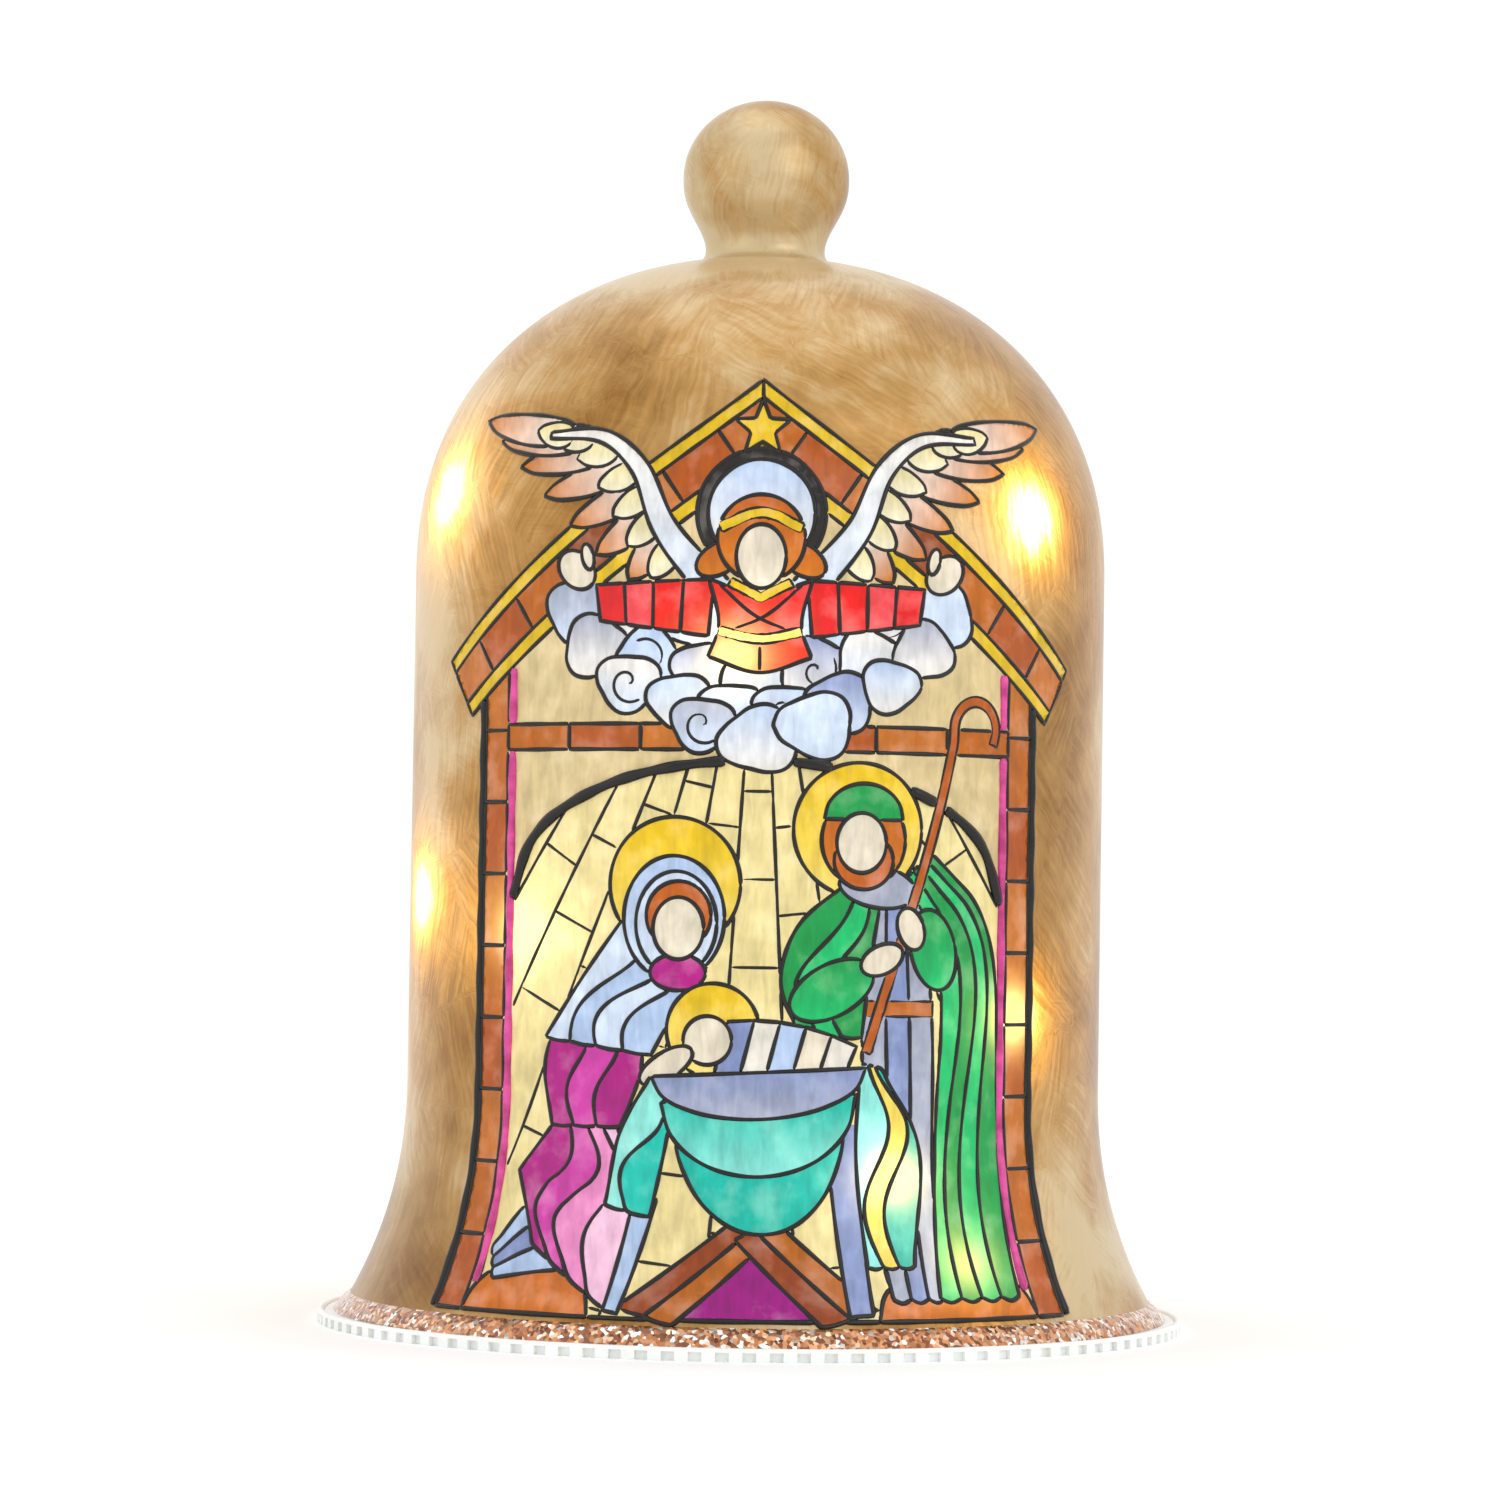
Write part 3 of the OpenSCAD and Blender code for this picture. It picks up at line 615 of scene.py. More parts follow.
# Manger: trestle, legs, cloths and bed
cell("plum", [(-15, 7), (0, 24), (15, 7)])
drape([(-4, 25), (-23, 9)], [(3, 22), (-13, 6)], ("plank", "plank light"))
drape([(-3, 22), (12, 6)], [(4, 26), (22, 9)], ("plank", "plank light"))
cell("sky", band([(-20, 30), (-24, 8)], 4.5, 0.6))
cell("slate", band([(17, 44), (19, 8)], 6, 0.7))
drape([(21, 56), (20, 40), (21, 17)], [(25, 55), (33, 40), (30, 17)], ("aqua", "straw", "teal"), 0.3)
drape([(-20, 53), (-26, 42), (-28, 28)], [(-15, 50), (-17, 38), (-19, 26)], ("aqua", "sea"), 0.3)
for x, z, half, depth, tone, to in (
    (1, 48, 17, 25, "sea", "teal"), (1, 49, 19, 15, "teal", "aqua"), (1, 54, 21, 9, "slate", "grey")
):
    cell(tone, oval(x, z, half, depth, 3, 180, 360), to)

# Roof: two battens with boards between, each side
slope = np.radians(36.5)
apex, eave, batten, roof_t, board_l = 188.5, 91.5, 2.9, 13.6, 13.5


def roof(side, run, depth):
    """A point of the roof: run down the slope from the ridge, depth square to it, and no further
    in than the middle line."""
    x = max(run * np.cos(slope) - depth * np.sin(slope), 0.0)
    run = (x + depth * np.sin(slope)) / np.cos(slope)
    return side * x, apex - run * np.sin(slope) - depth * np.cos(slope)


def board(side, start, end, top, bottom):
    """The corners of a board between two runs down the slope and two depths."""
    return [roof(side, r, d) for r, d in ((start, top), (end, top), (end, bottom), (start, bottom))]


for side in (-1, 1):
    for number, start in enumerate(np.arange(0, eave - 1, board_l)):
        tone = ("clay", "brick", "brick pale", "brick dark")[number % 4]
        cell(tone, board(side, start, min(start + board_l, eave), batten, roof_t - batten))
    cell("batten", board(side, 0, eave, 0, batten))
    cell("batten", board(side, 0, eave, roof_t - batten, roof_t))

# Clouds: rows of lobed puffs that sag in the middle, with a curl in every third
chance = np.random.default_rng(5)
puff = 0
for count, spread, height, sag in ((7, 37, 143, 2), (7, 33, 136, 5), (6, 26, 129, 6), (3, 11, 121, 3)):
    for x in np.linspace(-spread, spread, count):
        z = height - sag * np.cos(np.pi / 2 * x / spread)
        size, phase = chance.uniform(6.0, 7.6), chance.uniform(0, 6)
        a = np.linspace(0, 2 * np.pi, 14, endpoint=False)
        r = size * (1 + 0.11 * np.cos(3 * a + phase))
        tone = ("white", "sky", "grey", "pale sky", "slate")[int(chance.integers(5))]
        to = "white" if puff % 2 else "pale sky"
        cell(tone, np.stack([x + r * np.cos(a), z + 0.85 * r * np.sin(a)], 1), to)
        if puff % 3 == 2:
            turn = np.linspace(0.5, 6.8, 14)
            r = 0.62 * turn
            line(np.stack([x + r * np.cos(turn + phase), z + r * np.sin(turn + phase)], 1), 0.75)
        puff += 1


def feather(root, angle, length, width):
    """A feather from its root at that angle: as wide as width times a sine of a power of the way
    along, so that it is fullest past its middle and ends in a rounded point."""
    t = np.linspace(0, 1, 9)
    half = width / 2 * np.sin(np.pi * t**0.75) ** 0.6
    along = np.array([np.cos(np.radians(angle)), np.sin(np.radians(angle))])
    across = np.array([-along[1], along[0]])
    mid = np.asarray(root) + t[:, None] * length * along + (2.2 * t**2)[:, None] * (0, 1)
    return np.concatenate([mid + half[:, None] * across, (mid - half[:, None] * across)[-2:0:-1]])


# Wings: long feathers, a row of short ones over their roots, and the bare arm above
arm = evenly([(8, 146), (19, 159), (25, 171), (33, 177), (47, 178)], 44)
for side in (1, -1):
    for number in range(7):
        share = number / 6
        tilt = -58 + 62 * share**0.8
        shape = feather(arm[round(13 + 24 * share)], tilt, 14 + 16 * share, 6.2)
        inward = (-side * np.cos(np.radians(tilt)), -np.sin(np.radians(tilt)))
        cell("feather tip", shape if side > 0 else other_side(shape), "white", 1.0, inward)
    for number in range(7):
        root = arm[round(11 + 27 * number / 6)]
        shape = feather(root, -66 + 60 * number / 6, 10.5, 5.4)
        cell("wing yellow", shape if side > 0 else other_side(shape), "cream", 0.9)
    shape = band(arm, 6.5, 0.2)
    cell("white", shape if side > 0 else other_side(shape), "pale sky")

# Angel: halo, hair, blank face, robe with wide sleeves, open hands
cell("black", oval(0, 162, 12.6, 12.6))
cell("sky", oval(0, 162, 10.4, 10.4), "white")
for side in (-1, 1):
    cell("hair", oval(side * 8, 153, 5, 3, side * -30), "hair light")
cell("hair", oval(0, 157, 8.5, 8.5), "hair light")
cell("flesh", oval(0, 153.5, 4.8, 6.2))
cell("batten", band([(-8, 159), (0, 162), (8, 159)], 2), width=0.75)
for side in (-1, 1):
    cuff = [(side * 33, 148), (side * 32, 141)]
    drape([(side * 9, 149), (side * 10, 138)], cuff, ("red", "coral", "salmon", "red"))
    cell("flesh", oval(side * 37.5, 151, 4.6, 3.4, side * 35))
    cell("flesh", oval(side * 35, 153.5, 1.3, 2.6, side * -15))
bodice = [(-10, 149), (0, 146), (10, 149), (8, 140), (10, 134), (0, 131), (-10, 134), (-8, 140)]
cell("red", bodice, "scarlet")
line([(-8, 148), (-1, 142), (6, 139)])
line([(8, 148), (1, 142), (-6, 139)])
cell("straw", band([(-8, 139), (0, 137.5), (8, 139)], 1.8), width=0.75)
cell("batten", band([(-6, 148.5), (0, 145.5), (6, 148.5)], 1.8), width=0.75)
line([(0, 136), (0, 131.5)])

# Star over the ridge
spike = np.arange(10)
reach = np.where(spike % 2 == 0, 6.0, 2.6)
angle = spike * np.pi / 5
cell("halo", np.stack([reach * np.sin(angle), 178.5 + reach * np.cos(angle)], 1), "batten")

tones = {
    "panel": "#ddc99c", "ray": "#f0e0a8", "brick": "#b35a26", "clay": "#bd6b30",
    "brick pale": "#c47d4e", "brick dark": "#96502c", "batten": "#e3c04a", "ground": "#cf7b47",
    "halo": "#edc84f", "halo light": "#f4dc82", "straw": "#f0d878", "flesh": "#e6dcc8",
    "pale": "#e9e4da", "hair": "#c4662c", "hair light": "#d98440", "staff": "#b9602a",
    "green": "#0a9e4a", "leaf": "#35c274", "grey": "#a9aec0", "slate": "#8e9bc4",
    "sky": "#b9cdeb", "pale sky": "#d5e2f4", "white": "#f2eee6", "robe": "#b5358a",
    "robe light": "#d25fae", "pink": "#ee9ccb", "pale pink": "#f6c9e2", "plum": "#a03a86",
    "red": "#e8141c", "scarlet": "#f0382c", "coral": "#ee4a4a", "salmon": "#f26e72",
    "teal": "#12b8a4", "sea": "#3cc9b8", "aqua": "#9de8de", "plank": "#9a4514",
    "plank light": "#b96a2c", "feather tip": "#cf7f3a", "wing yellow": "#e9dda2",
    "cream": "#f3ecd2", "black": "#1c1917",
}


# ---- Picture on the glass: the relief paste ---------------------------------------------------
# Every outline is piped from a tube in black paste, about a millimetre wide, that dries as a
# glossy half-round bead; one line beside each post is magenta. Where a later cell covers a line,
# the line stops.


def reach_of(points, outline):
    """The distance from each point to the nearest side of a closed outline, and whether the
    point is inside it, by counting the sides that it has on its right."""
    a, b = outline, np.roll(outline, -1, 0)
    side = b - a
    from_a = points[:, None] - a
    share = np.clip((from_a * side).sum(-1) / np.maximum((side**2).sum(-1), 1e-9), 0, 1)
    away = np.linalg.norm(from_a - share[..., None] * side, axis=-1).min(1)
    spans = (a[:, 1] > points[:, 1, None]) != (b[:, 1] > points[:, 1, None])
    rise = np.where(side[:, 1] == 0, 1, side[:, 1])
    cross = a[:, 0] + from_a[..., 1] * side[:, 0] / rise
    return away, (spans & (points[:, 0, None] < cross)).sum(1) % 2 == 1


def uncovered(order, points):
    """The stretches of a line that no later cell covers, or comes within 0.15 mm of, with every
    third of their points and the last."""
    free = np.ones(len(points), bool)
    for *_, outline in cells[order + 1 :]:
        near = free & (points > outline.min(0) - 0.2).all(1) & (points < outline.max(0) + 0.2).all(1)
        if near.any():
            away, inside_it = reach_of(points[near], outline)
            free[near] = ~(inside_it | (away < 0.15))
    ends = np.flatnonzero(np.diff(np.concatenate([[0], free, [0]])))
    stretches = [points[i:j] for i, j in ends.reshape(-1, 2) if j - i > 4]
    return [np.concatenate([stretch[:-2:3], stretch[-1:]]) for stretch in stretches]


def on_glass(flat, lift):
    """Takes drawing points in millimetres to the glass: round it by their distance over the
    body's radius, and out along its normal by lift, in metres."""
    z, angle = flat[:, 1] / 1000, flat[:, 0] / 1000 / body_r
    r = glass_radius(z)
    slope = (glass_radius(z + 1e-5) - glass_radius(z - 1e-5)) / 2e-5
    out = r + lift / np.hypot(1, slope)
    return np.stack([out * np.sin(angle), -out * np.cos(angle), z - lift * slope / np.hypot(1, slope)], 1)


hand = np.random.default_rng(11)
ring = np.radians([-15, 40, 90, 140, 195])


def bead(points, width):
    """A bead of paste along a flat line: a ring of five points at each step, half the width to
    each side and 0.55 of it high, that swells and thins by a tenth as a hand does and draws in
    at both ends. Returns its points and faces."""
    way = np.gradient(points, axis=0)
    way /= np.linalg.norm(way, axis=1, keepdims=True)
    off = np.stack([-way[:, 1], way[:, 0]], 1)
    run = np.arange(len(points))
    swell = 1 + 0.1 * np.sin(run * hand.uniform(0.2, 0.5) + hand.uniform(0, 6))
    swell[[0, -1]] *= 0.75
    size = (width * swell)[:, None]
    flat = points[:, None] + off[:, None] * (np.cos(ring) * size / 2)[..., None]
    lift = np.sin(ring) * size * 0.55 / 1000
    placed = on_glass(flat.reshape(-1, 2), lift.ravel())
    i = (run[:-1, None] * 5 + np.arange(5)).ravel()
    j = (run[:-1, None] * 5 + (np.arange(5) + 1) % 5).ravel()
    last = 5 * run[-1]
    caps = [list(range(5)), [last + k for k in (4, 3, 2, 1, 0)]]
    return placed, np.stack([i, i + 5, j + 5, j], 1).tolist() + caps


def paste_piece(name, colour, material):
    """All the visible beads of one colour of paste, as one piece."""
    points, faces, count = [], [], 0
    for order, line_points, width, paste in lines:
        if paste != colour:
            continue
        for stretch in uncovered(order, line_points):
            placed, sides = bead(stretch, width)
            points.append(placed)
            faces += [[k + count for k in face] for face in sides]
            count += len(placed)
    obj = mesh_object(name, np.concatenate(points), faces)
    tidy(obj)
    obj.data.materials.append(material)
    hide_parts("bell_glass")
    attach(obj, "bell_on_base")
    return obj


def moulded(name, dark, light, size, roughness, bump=0.1, texture=0.0004, **sockets):
    """A material of two close tones in soft clouds of that size, with a fine surface texture of
    its own grain size. Further sockets are set on the shader by name, _ for a space."""
    material, tree = new_material(name)
    place = add(tree, "TexCoord").outputs["Object"]
    cloud = add(tree, "TexNoise", None, {"Vector": place, "Scale": 1 / size, "Detail": 4.0})
    tone = add(tree, "ValToRGB", None, {0: cloud.outputs[0]})
    tone.color_ramp.elements[0].position = 0.35
    tone.color_ramp.elements[0].color = linear(dark)
    tone.color_ramp.elements[1].position = 0.65
    tone.color_ramp.elements[1].color = linear(light)
    fine = add(tree, "TexNoise", None, {"Vector": place, "Scale": 1 / texture, "Detail": 2.0})
    rough = add(
        tree, "MapRange", None,
        {0: cloud.outputs[0], 1: 0.3, 2: 0.7, 3: roughness * 0.85, 4: roughness * 1.15},
    )
    relief = add(
        tree, "Bump", None, {"Strength": bump, "Distance": 0.0002, "Height": fine.outputs[0]}
    )
    shader = add(
        tree,
        "BsdfPrincipled",
        None,
        {"Base Color": tone.outputs[0], "Roughness": rough.outputs[0], "Normal": relief.outputs[0]},
    )
    for key, value in sockets.items():
        shader.inputs[key.replace("_", " ")].default_value = value
    add(tree, "OutputMaterial", None, {0: shader.outputs[0]})
    return material


paste_piece(
    "black_relief_lines", "black",
    moulded("black relief paste", "#0b0a09", "#161311", 0.004, 0.2, 0.25, 0.0012,
            Specular_IOR_Level=0.3, Coat_Weight=0.2, Coat_Roughness=0.08),
)
paste_piece(
    "magenta_relief_lines", "magenta",
    moulded("magenta relief paste", "#b01e6e", "#e0479a", 0.004, 0.22, 0.25, 0.0012,
            Specular_IOR_Level=0.4, Coat_Weight=0.3, Coat_Roughness=0.08),
)


# ---- Picture on the glass: the enamel ----------------------------------------------------------
# Solvent enamel flooded between the lines by hand: thin in the middle of a cell, thicker where
# it climbs the paste, and streaked by the brush. The light of the lamps behind it is painted on as a glow.

grid_step = 1.7
outlines = [outline for *_, outline in cells]
low = np.min([o.min(0) for o in outlines], 0)
high = np.max([o.max(0) for o in outlines], 0)
across, upright = np.meshgrid(np.arange(low[0], high[0], grid_step), np.arange(low[1], high[1], grid_step))
across[::2] += grid_step / 2
first = np.cumsum([0] + [len(o) for o in outlines])
sides = [(k, k + 1 if k + 1 < j else i) for i, j in zip(first, first[1:]) for k in range(i, j)]
spread_points = np.concatenate([*outlines, np.stack([across.ravel(), upright.ravel()], 1)])
parted = delaunay_2d_cdt(list(map(Vector, spread_points.tolist())), sides, [], 0, 0.02, False)
flat = np.array([tuple(p) for p in parted[0]])
triangles = np.array(parted[2])
centre = flat[triangles].mean(1)
owner = np.full(len(centre), -1)
for number, outline in enumerate(outlines):
    near = (centre > outline.min(0)).all(1) & (centre < outline.max(0)).all(1)
    owner[np.flatnonzero(near)[reach_of(centre[near], outline)[1]]] = number
triangles, owner = triangles[owner >= 0], owner[owner >= 0]
used, triangles = np.unique(triangles, return_inverse=True)
flat, triangles = flat[used], triangles.reshape(-1, 3)

paste_points = np.concatenate([p for order, points, _, _ in lines for p in uncovered(order, points)])
away = np.full(len(flat), 9.0)
for start in range(0, len(flat), 400):
    part = flat[start : start + 400]
    near = paste_points[
        (paste_points > part.min(0) - 2).all(1) & (paste_points < part.max(0) + 2).all(1)
    ]
    if len(near):
        away[start : start + 400] = np.linalg.norm(part[:, None] - near, axis=-1).min(1)
film, climb, climb_reach = 0.00012, 0.00022, 0.8
enamel = mesh_object(
    "painted_enamel", on_glass(flat, film + climb * np.exp(-away / climb_reach)), triangles
)

ways = [np.array(way) for _, _, way, _ in cells]
begin = np.array([(o @ way).min() for o, way in zip(outlines, ways)])[owner, None]
end = np.array([(o @ way).max() for o, way in zip(outlines, ways)])[owner, None]
along = (flat[triangles] * np.array(ways)[owner, None]).sum(-1)
share = ((along - begin) / (end - begin))[..., None]
tone = np.array([linear(tones[name]) for name, *_ in cells])[owner, None]
fading = np.array([linear(tones[name]) for _, name, *_ in cells])[owner, None]
paint_of = enamel.data.color_attributes.new("tone", "FLOAT_COLOR", "CORNER")
paint_of.data.foreach_set("color", (tone + (fading - tone) * share).astype(np.float32).ravel())
glow_on(enamel)
backing = enamel.modifiers.new("backing", "SOLIDIFY")
backing.thickness = 0.0003
backing.offset = -1

glaze, tree = new_material("glossy solvent enamel")
place = add(tree, "TexCoord").outputs["Object"]
tone = add(tree, "Attribute", {"attribute_name": "tone"}).outputs["Color"]
brush_width, brush_length = 0.0016, 0.007
brushed = add(
    tree, "Mapping", None,
    {"Vector": place, "Rotation": (0.0, 0.5, 0.0), "Scale": (1 / brush_width, 150.0, 1 / brush_length)},
)
streak = add(
    tree, "TexNoise", None,
    {"Vector": brushed.outputs[0], "Scale": 1.0, "Detail": 3.0, "Distortion": 0.6},
)
pool = add(tree, "TexNoise", None, {"Vector": place, "Scale": 160.0, "Detail": 3.0})
depth = add(tree, "Mix", None, {0: 0.5, 2: streak.outputs[0], 3: pool.outputs[0]})
value = add(tree, "MapRange", None, {0: depth.outputs[0], 1: 0.34, 2: 0.66, 3: 0.68, 4: 1.04})
colour = add(tree, "HueSaturation", None, {"Color": tone, "Value": value.outputs[0], "Saturation": 1.14})
milk = add(tree, "MapRange", None, {0: pool.outputs[0], 1: 0.5, 2: 0.75, 3: 0.0, 4: 0.12})
colour = add(
    tree, "Mix", {"data_type": "RGBA"},
    {0: milk.outputs[0], 6: colour.outputs[0], 7: linear("#fff8ee")},
)
# Painted glow: the lamps' light through the enamel is put on as emission from the stored shine, with the
# colour turned towards pale yellow where it is strongest.
lit = add(tree, "Attribute", {"attribute_name": "shine"}).outputs["Fac"]
lit = add(tree, "MapRange", None, {0: lit, 1: 0.05, 2: 0.9, 3: 0.0, 4: 1.0})
painted_hot_spot = add(tree, "Mix", {"data_type": "RGBA"}, {0: lit.outputs[0], 6: colour.outputs[2], 7: linear("#ffe68a")})
painted_glow = add(
    tree, "Mix", {"data_type": "RGBA"}, {0: lit.outputs[0], 6: linear("#000000"), 7: painted_hot_spot.outputs[2]}
)
relief = add(tree, "Bump", None, {"Strength": 0.2, "Distance": 0.0003, "Height": depth.outputs[0]})
shader = add(
    tree, "BsdfPrincipled", None,
    {
        "Base Color": colour.outputs[2], "Roughness": 0.16, "IOR": 1.5, "Normal": relief.outputs[0],
        "Specular IOR Level": 0.25, "Coat Weight": 0.25, "Coat Roughness": 0.05,
        "Emission Color": painted_glow.outputs[2],
        "Emission Strength": 1.3,
    },
)
add(tree, "OutputMaterial", None, {0: shader.outputs[0]})
enamel.data.materials.append(glaze)
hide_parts("bell_glass")
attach(enamel, "bell_on_base")


# ---- Glitter band -----------------------------------------------------------------------
# A bead of clear glue full of copper-coloured foil flakes, piped round the foot of the glass to
# hide its joint. Every flake lies at its own tilt, and each is also given its own tone from dark
# copper to plain white, as painted shade and painted glints, so some flash white and some stay dark.

glitter, tree = new_material("copper foil glitter in clear glue")
place = add(tree, "TexCoord").outputs["Object"]
flake_size = 0.0008
flake = add(tree, "TexVoronoi", None, {"Vector": place, "Scale": 1 / flake_size})
chance = add(tree, "SeparateColor", None, {0: flake.outputs["Color"]})
# Painted shade and painted glints: a random tone for each flake, from dark copper up to plain white for one
# flake in ten.
foil_painted_glints_and_shade = add(tree, "ValToRGB", {}, {0: chance.outputs[0]})
foil_painted_glints_and_shade.color_ramp.interpolation = "CONSTANT"
foil_painted_glints_and_shade.color_ramp.elements[0].color = linear("#8d4f2c")
foil_painted_glints_and_shade.color_ramp.elements[1].position = 0.9
foil_painted_glints_and_shade.color_ramp.elements[1].color = linear("#ffffff")
for share, code in ((0.25, "#c27a48"), (0.5, "#d99a6a"), (0.74, "#f3cfae")):
    foil_painted_glints_and_shade.color_ramp.elements.new(share).color = linear(code)
tilt = add(
    tree, "VectorMath", {"operation": "MULTIPLY_ADD"},
    {0: flake.outputs["Color"], 1: (1.1,) * 3, 2: (-0.55,) * 3},
)
facing = add(tree, "NewGeometry").outputs["Normal"]
tilt = add(tree, "VectorMath", {"operation": "ADD"}, {0: facing, 1: tilt.outputs[0]})
tilt = add(tree, "VectorMath", {"operation": "NORMALIZE"}, {0: tilt.outputs[0]})
shader = add(
    tree,
    "BsdfPrincipled",
    None,
    {
        "Base Color": foil_painted_glints_and_shade.outputs[0],
        "Metallic": 0.6,
        "Roughness": 0.25,
        "Normal": tilt.outputs[0],
        "Coat Weight": 0.6,
        "Coat Roughness": 0.1,
    },
)
add(tree, "OutputMaterial", None, {0: shader.outputs[0]})


def dress(name, material):
    """Gives a CAD node its finish, in all of its material slots."""
    mesh = nodes[name].data
    mesh.materials.clear()
    mesh.materials.append(material)


dress("glitter_band", glitter)


# ---- Glue ring ----------------------------------------------------------------------------
# Clear silicone, squeezed in a bead between the glass and the base and left to cure. It is
# milky and satin, with small ripples from the nozzle.

dress("glue_ring", moulded("cured clear silicone", "#d9dad6", "#ecebe6", 0.006, 0.4, IOR=1.41))


# ---- Base ---------------------------------------------------------------------------------
# One shot of white polystyrene, with a ring of short ribs round its edge that catch the light
# in turn. The plastic is slightly milky, with a satin mould finish.

white_styrene = moulded(
    "white satin polystyrene", "#f0f0ec", "#fafaf7", 0.03, 0.38, 0.12, 0.0005,
    IOR=1.59, Subsurface_Weight=0.25, Subsurface_Scale=0.004,
)
dress("base_plate", white_styrene)


# ---- Battery housing and its door ---------------------------------------------------------
# Both are moulded of the same white ABS with a sparked texture; the door swings on two pins
# under the base and snaps shut by its finger tab.

white_abs = moulded(
    "white spark-textured abs", "#e9e9e4", "#f4f4f0", 0.02, 0.5, 0.3, 0.0006, IOR=1.54
)
dress("battery_housing", white_abs)
dress("battery_door", white_abs)


# ---- Cells --------------------------------------------------------------------------------
# Three round alkaline cells in shrunk plastic sleeves: a copper-toned end and a dark body, with
# the bare steel can showing at the ends.

sleeve, tree = new_material("printed shrink sleeve on a steel can")
place = add(tree, "TexCoord").outputs["Object"]
along = add(tree, "SeparateXYZ", None, {0: place}).outputs[1]
cell_low, cell_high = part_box("battery_cell_1")
print_edge = cell_low[1] + 0.68 * (cell_high[1] - cell_low[1])
bands = add(
    tree, "MapRange", None, {0: along, 1: print_edge - 0.0002, 2: print_edge + 0.0002, 3: 0.0, 4: 1.0}
)
scuff = add(tree, "TexNoise", None, {"Vector": place, "Scale": 260.0, "Detail": 5.0})
worn = add(tree, "MapRange", None, {0: scuff.outputs[0], 1: 0.35, 2: 0.7, 3: 0.8, 4: 1.1})
ink = add(
    tree, "Mix", {"data_type": "RGBA"},
    {0: bands.outputs[0], 6: linear("#23262b"), 7: linear("#b9793f")},
)
ink = add(tree, "HueSaturation", None, {"Color": ink.outputs[2], "Value": worn.outputs[0]})
shader = add(
    tree, "BsdfPrincipled", None,
    {"Base Color": ink.outputs[0], "Metallic": 0.4, "Roughness": 0.3, "Coat Weight": 0.5},
)
add(tree, "OutputMaterial", None, {0: shader.outputs[0]})
for number in (1, 2, 3):
    dress(f"battery_cell_{number}", sleeve)


# ---- Contacts, screws and switch case -----------------------------------------------------
# Springs of nickel-plated wire, stamped plates, zinc-plated screws and the switch's folded
# steel case: all thin bright plate with fine draw marks.


def plated(name, dark, light, roughness):
    """Plated steel: two tones of bright metal in drawn streaks half a millimetre wide."""
    material, tree = new_material(name)
    place = add(tree, "TexCoord").outputs["Object"]
    drawn = add(tree, "Mapping", None, {"Vector": place, "Scale": (2000.0, 250.0, 2000.0)})
    streak = add(tree, "TexNoise", None, {"Vector": drawn.outputs[0], "Scale": 1.0, "Detail": 3.0})
    tone = add(tree, "ValToRGB", None, {0: streak.outputs[0]})
    tone.color_ramp.elements[0].position = 0.3
    tone.color_ramp.elements[0].color = linear(dark)
    tone.color_ramp.elements[1].position = 0.7
    tone.color_ramp.elements[1].color = linear(light)
    rough = add(
        tree, "MapRange", None,
        {0: streak.outputs[0], 1: 0.3, 2: 0.7, 3: roughness, 4: roughness + 0.15},
    )
    shader = add(
        tree, "BsdfPrincipled", None,
        {"Base Color": tone.outputs[0], "Metallic": 1.0, "Roughness": rough.outputs[0]},
    )
    add(tree, "OutputMaterial", None, {0: shader.outputs[0]})
    return material


nickel = plated("nickel-plated spring steel", "#a9a49b", "#d5d0c6", 0.22)
dress("cell_springs", nickel)
dress("cell_contacts", nickel)
dress("switch_case", plated("tin-plated folded steel", "#a5a7aa", "#c9cccf", 0.3))
zinc = plated("zinc-plated screw", "#9b9da3", "#c6c9d0", 0.32)
dress("housing_screws", zinc)
dress("board_screws", zinc)


# ---- Timer board, chip and small parts ----------------------------------------------------
# A green fibreglass board with solder mask over copper tracks, a moulded epoxy chip, and the
# small wired parts beside it.

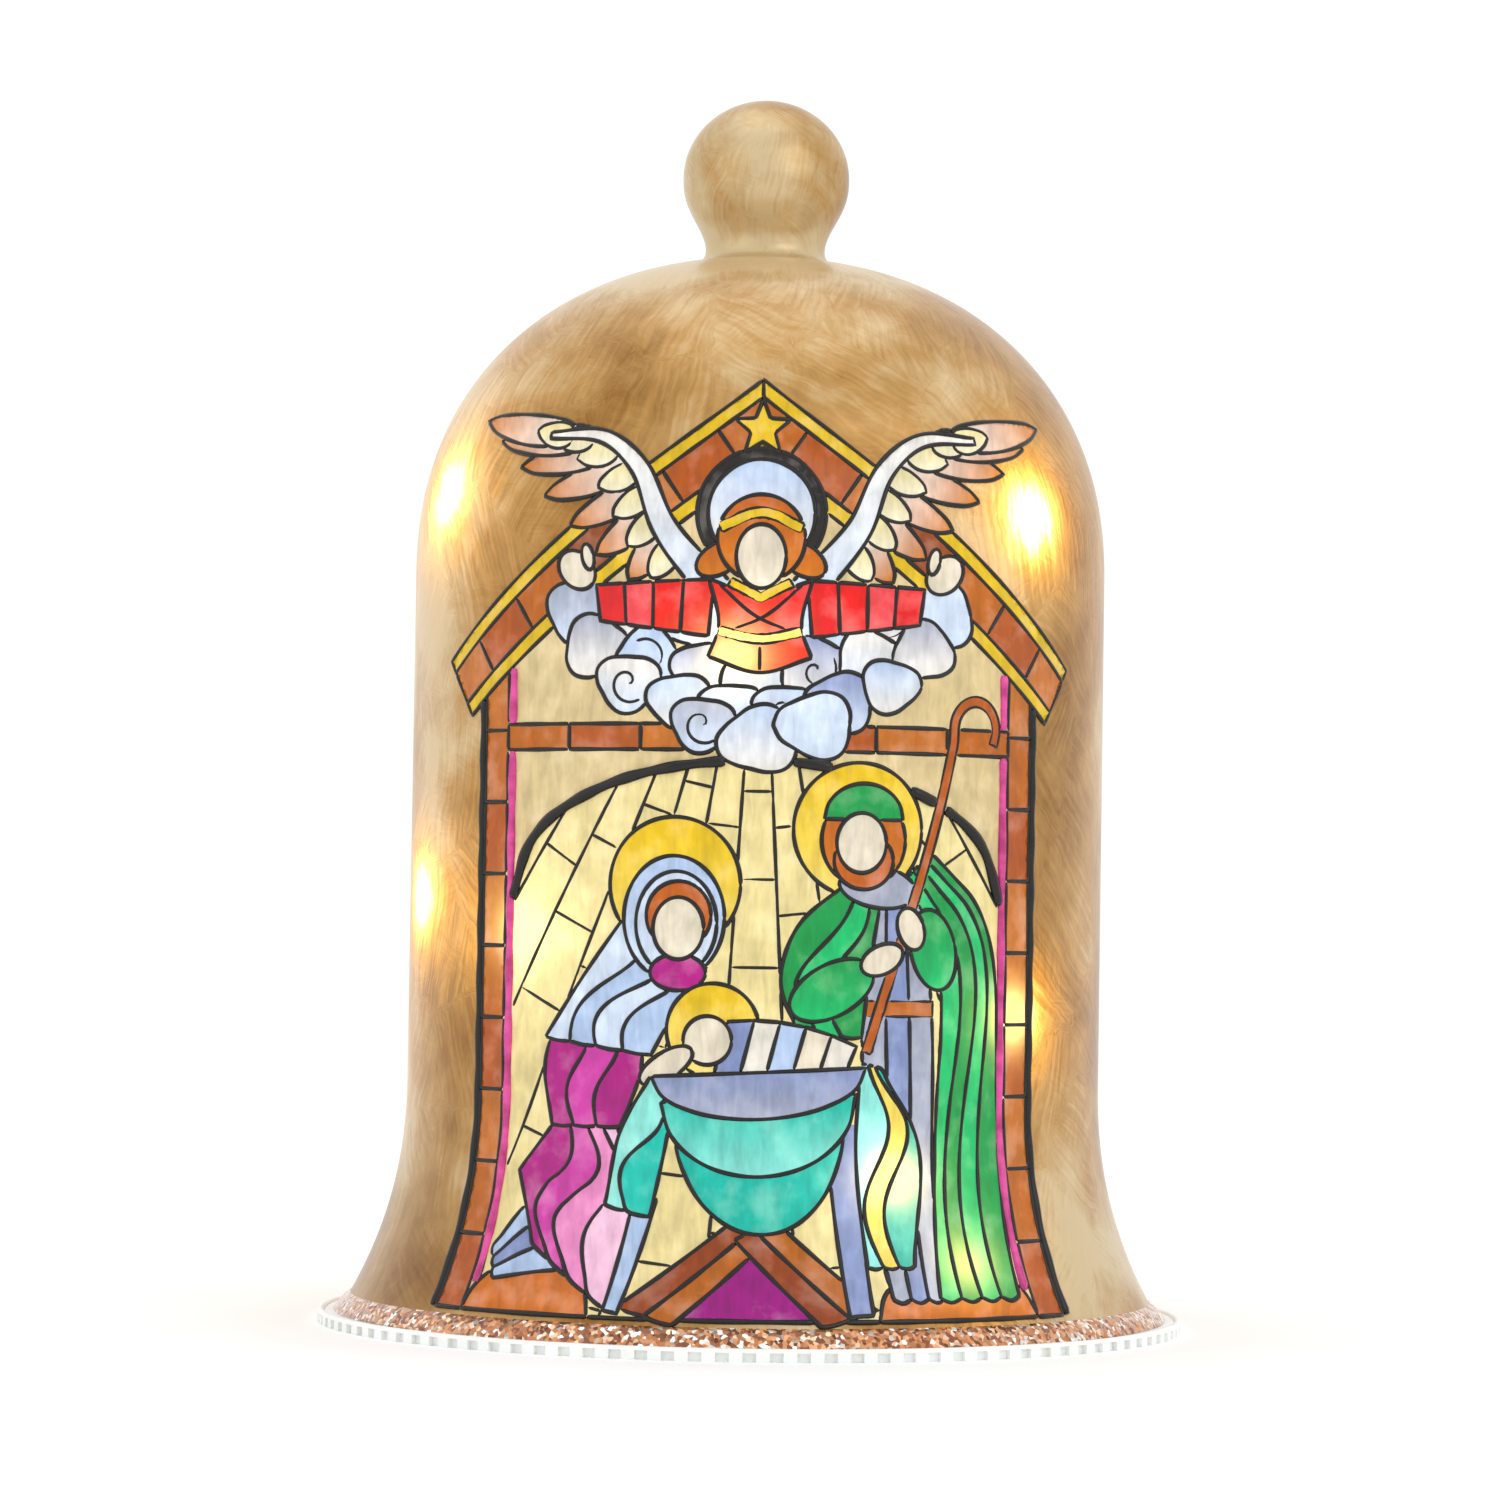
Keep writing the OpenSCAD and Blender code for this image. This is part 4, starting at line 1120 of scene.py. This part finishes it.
board, tree = new_material("green solder mask on fibreglass")
place = add(tree, "TexCoord").outputs["Object"]
track_pitch = 0.0025
track = add(
    tree, "TexBrick", {"offset": 0.5, "squash": 1.0},
    {
        "Vector": place, "Scale": 1 / track_pitch, "Color1": linear("#1d6b3a"),
        "Color2": linear("#237a44"), "Mortar": linear("#2f8f55"), "Mortar Size": 0.09,
    },
)
weave = add(tree, "TexNoise", None, {"Vector": place, "Scale": 900.0, "Detail": 2.0})
mask = add(tree, "MapRange", None, {0: weave.outputs[0], 1: 0.3, 2: 0.7, 3: 0.88, 4: 1.1})
green = add(tree, "HueSaturation", None, {"Color": track.outputs[0], "Value": mask.outputs[0]})
shader = add(
    tree, "BsdfPrincipled", None,
    {"Base Color": green.outputs[0], "Roughness": 0.35, "Coat Weight": 0.4, "Coat Roughness": 0.1},
)
add(tree, "OutputMaterial", None, {0: shader.outputs[0]})
dress("timer_board", board)
dress("timer_chip", moulded("black moulded epoxy", "#17181a", "#232427", 0.002, 0.55, 0.25, 0.0002))
dress(
    "board_parts",
    moulded("lacquered resistors and capacitors", "#8c6d43", "#d8bc8a", 0.0035, 0.4, 0.15, 0.0003),
)


# ---- Switch slider, leads and grommet -----------------------------------------------------
# A nylon slider, two stranded leads in soft PVC, and a rubber grommet where the light wire
# leaves the housing.

dress("switch_slider", moulded("black nylon", "#19191b", "#28282b", 0.002, 0.45, 0.2, 0.0003))
dress("lead_red", moulded("red pvc sleeving", "#a81612", "#c8221a", 0.004, 0.38, 0.1, 0.0005))
dress("lead_black", moulded("black pvc sleeving", "#141416", "#242427", 0.004, 0.38, 0.1, 0.0005))
dress("wire_grommet", moulded("black moulded rubber", "#191918", "#262625", 0.003, 0.7, 0.3, 0.0004))


# ---- String of lights ---------------------------------------------------------------------
# Enamelled copper wire that carries small lamps, each cast in a drop of clear resin. The lamps
# give a warm yellow light.

dress("light_wire", plated("enamelled copper wire", "#9c5a2c", "#c67a42", 0.25))
resin, tree = new_material("lit clear resin drop")
place = add(tree, "TexCoord").outputs["Object"]
seed_size = 0.003
seeds = add(tree, "TexNoise", None, {"Vector": place, "Scale": 1 / seed_size, "Detail": 2.0})
warm = add(tree, "ValToRGB", None, {0: seeds.outputs[0]})
warm.color_ramp.elements[0].color = linear("#ffc560")
warm.color_ramp.elements[1].color = linear("#fff2cc")
shader = add(
    tree, "BsdfPrincipled", None,
    {
        "Base Color": warm.outputs[0], "Roughness": 0.12, "IOR": 1.5,
        "Emission Color": warm.outputs[0], "Emission Strength": 6.0,
    },
)
add(tree, "OutputMaterial", None, {0: shader.outputs[0]})
dress("light_beads", resin)
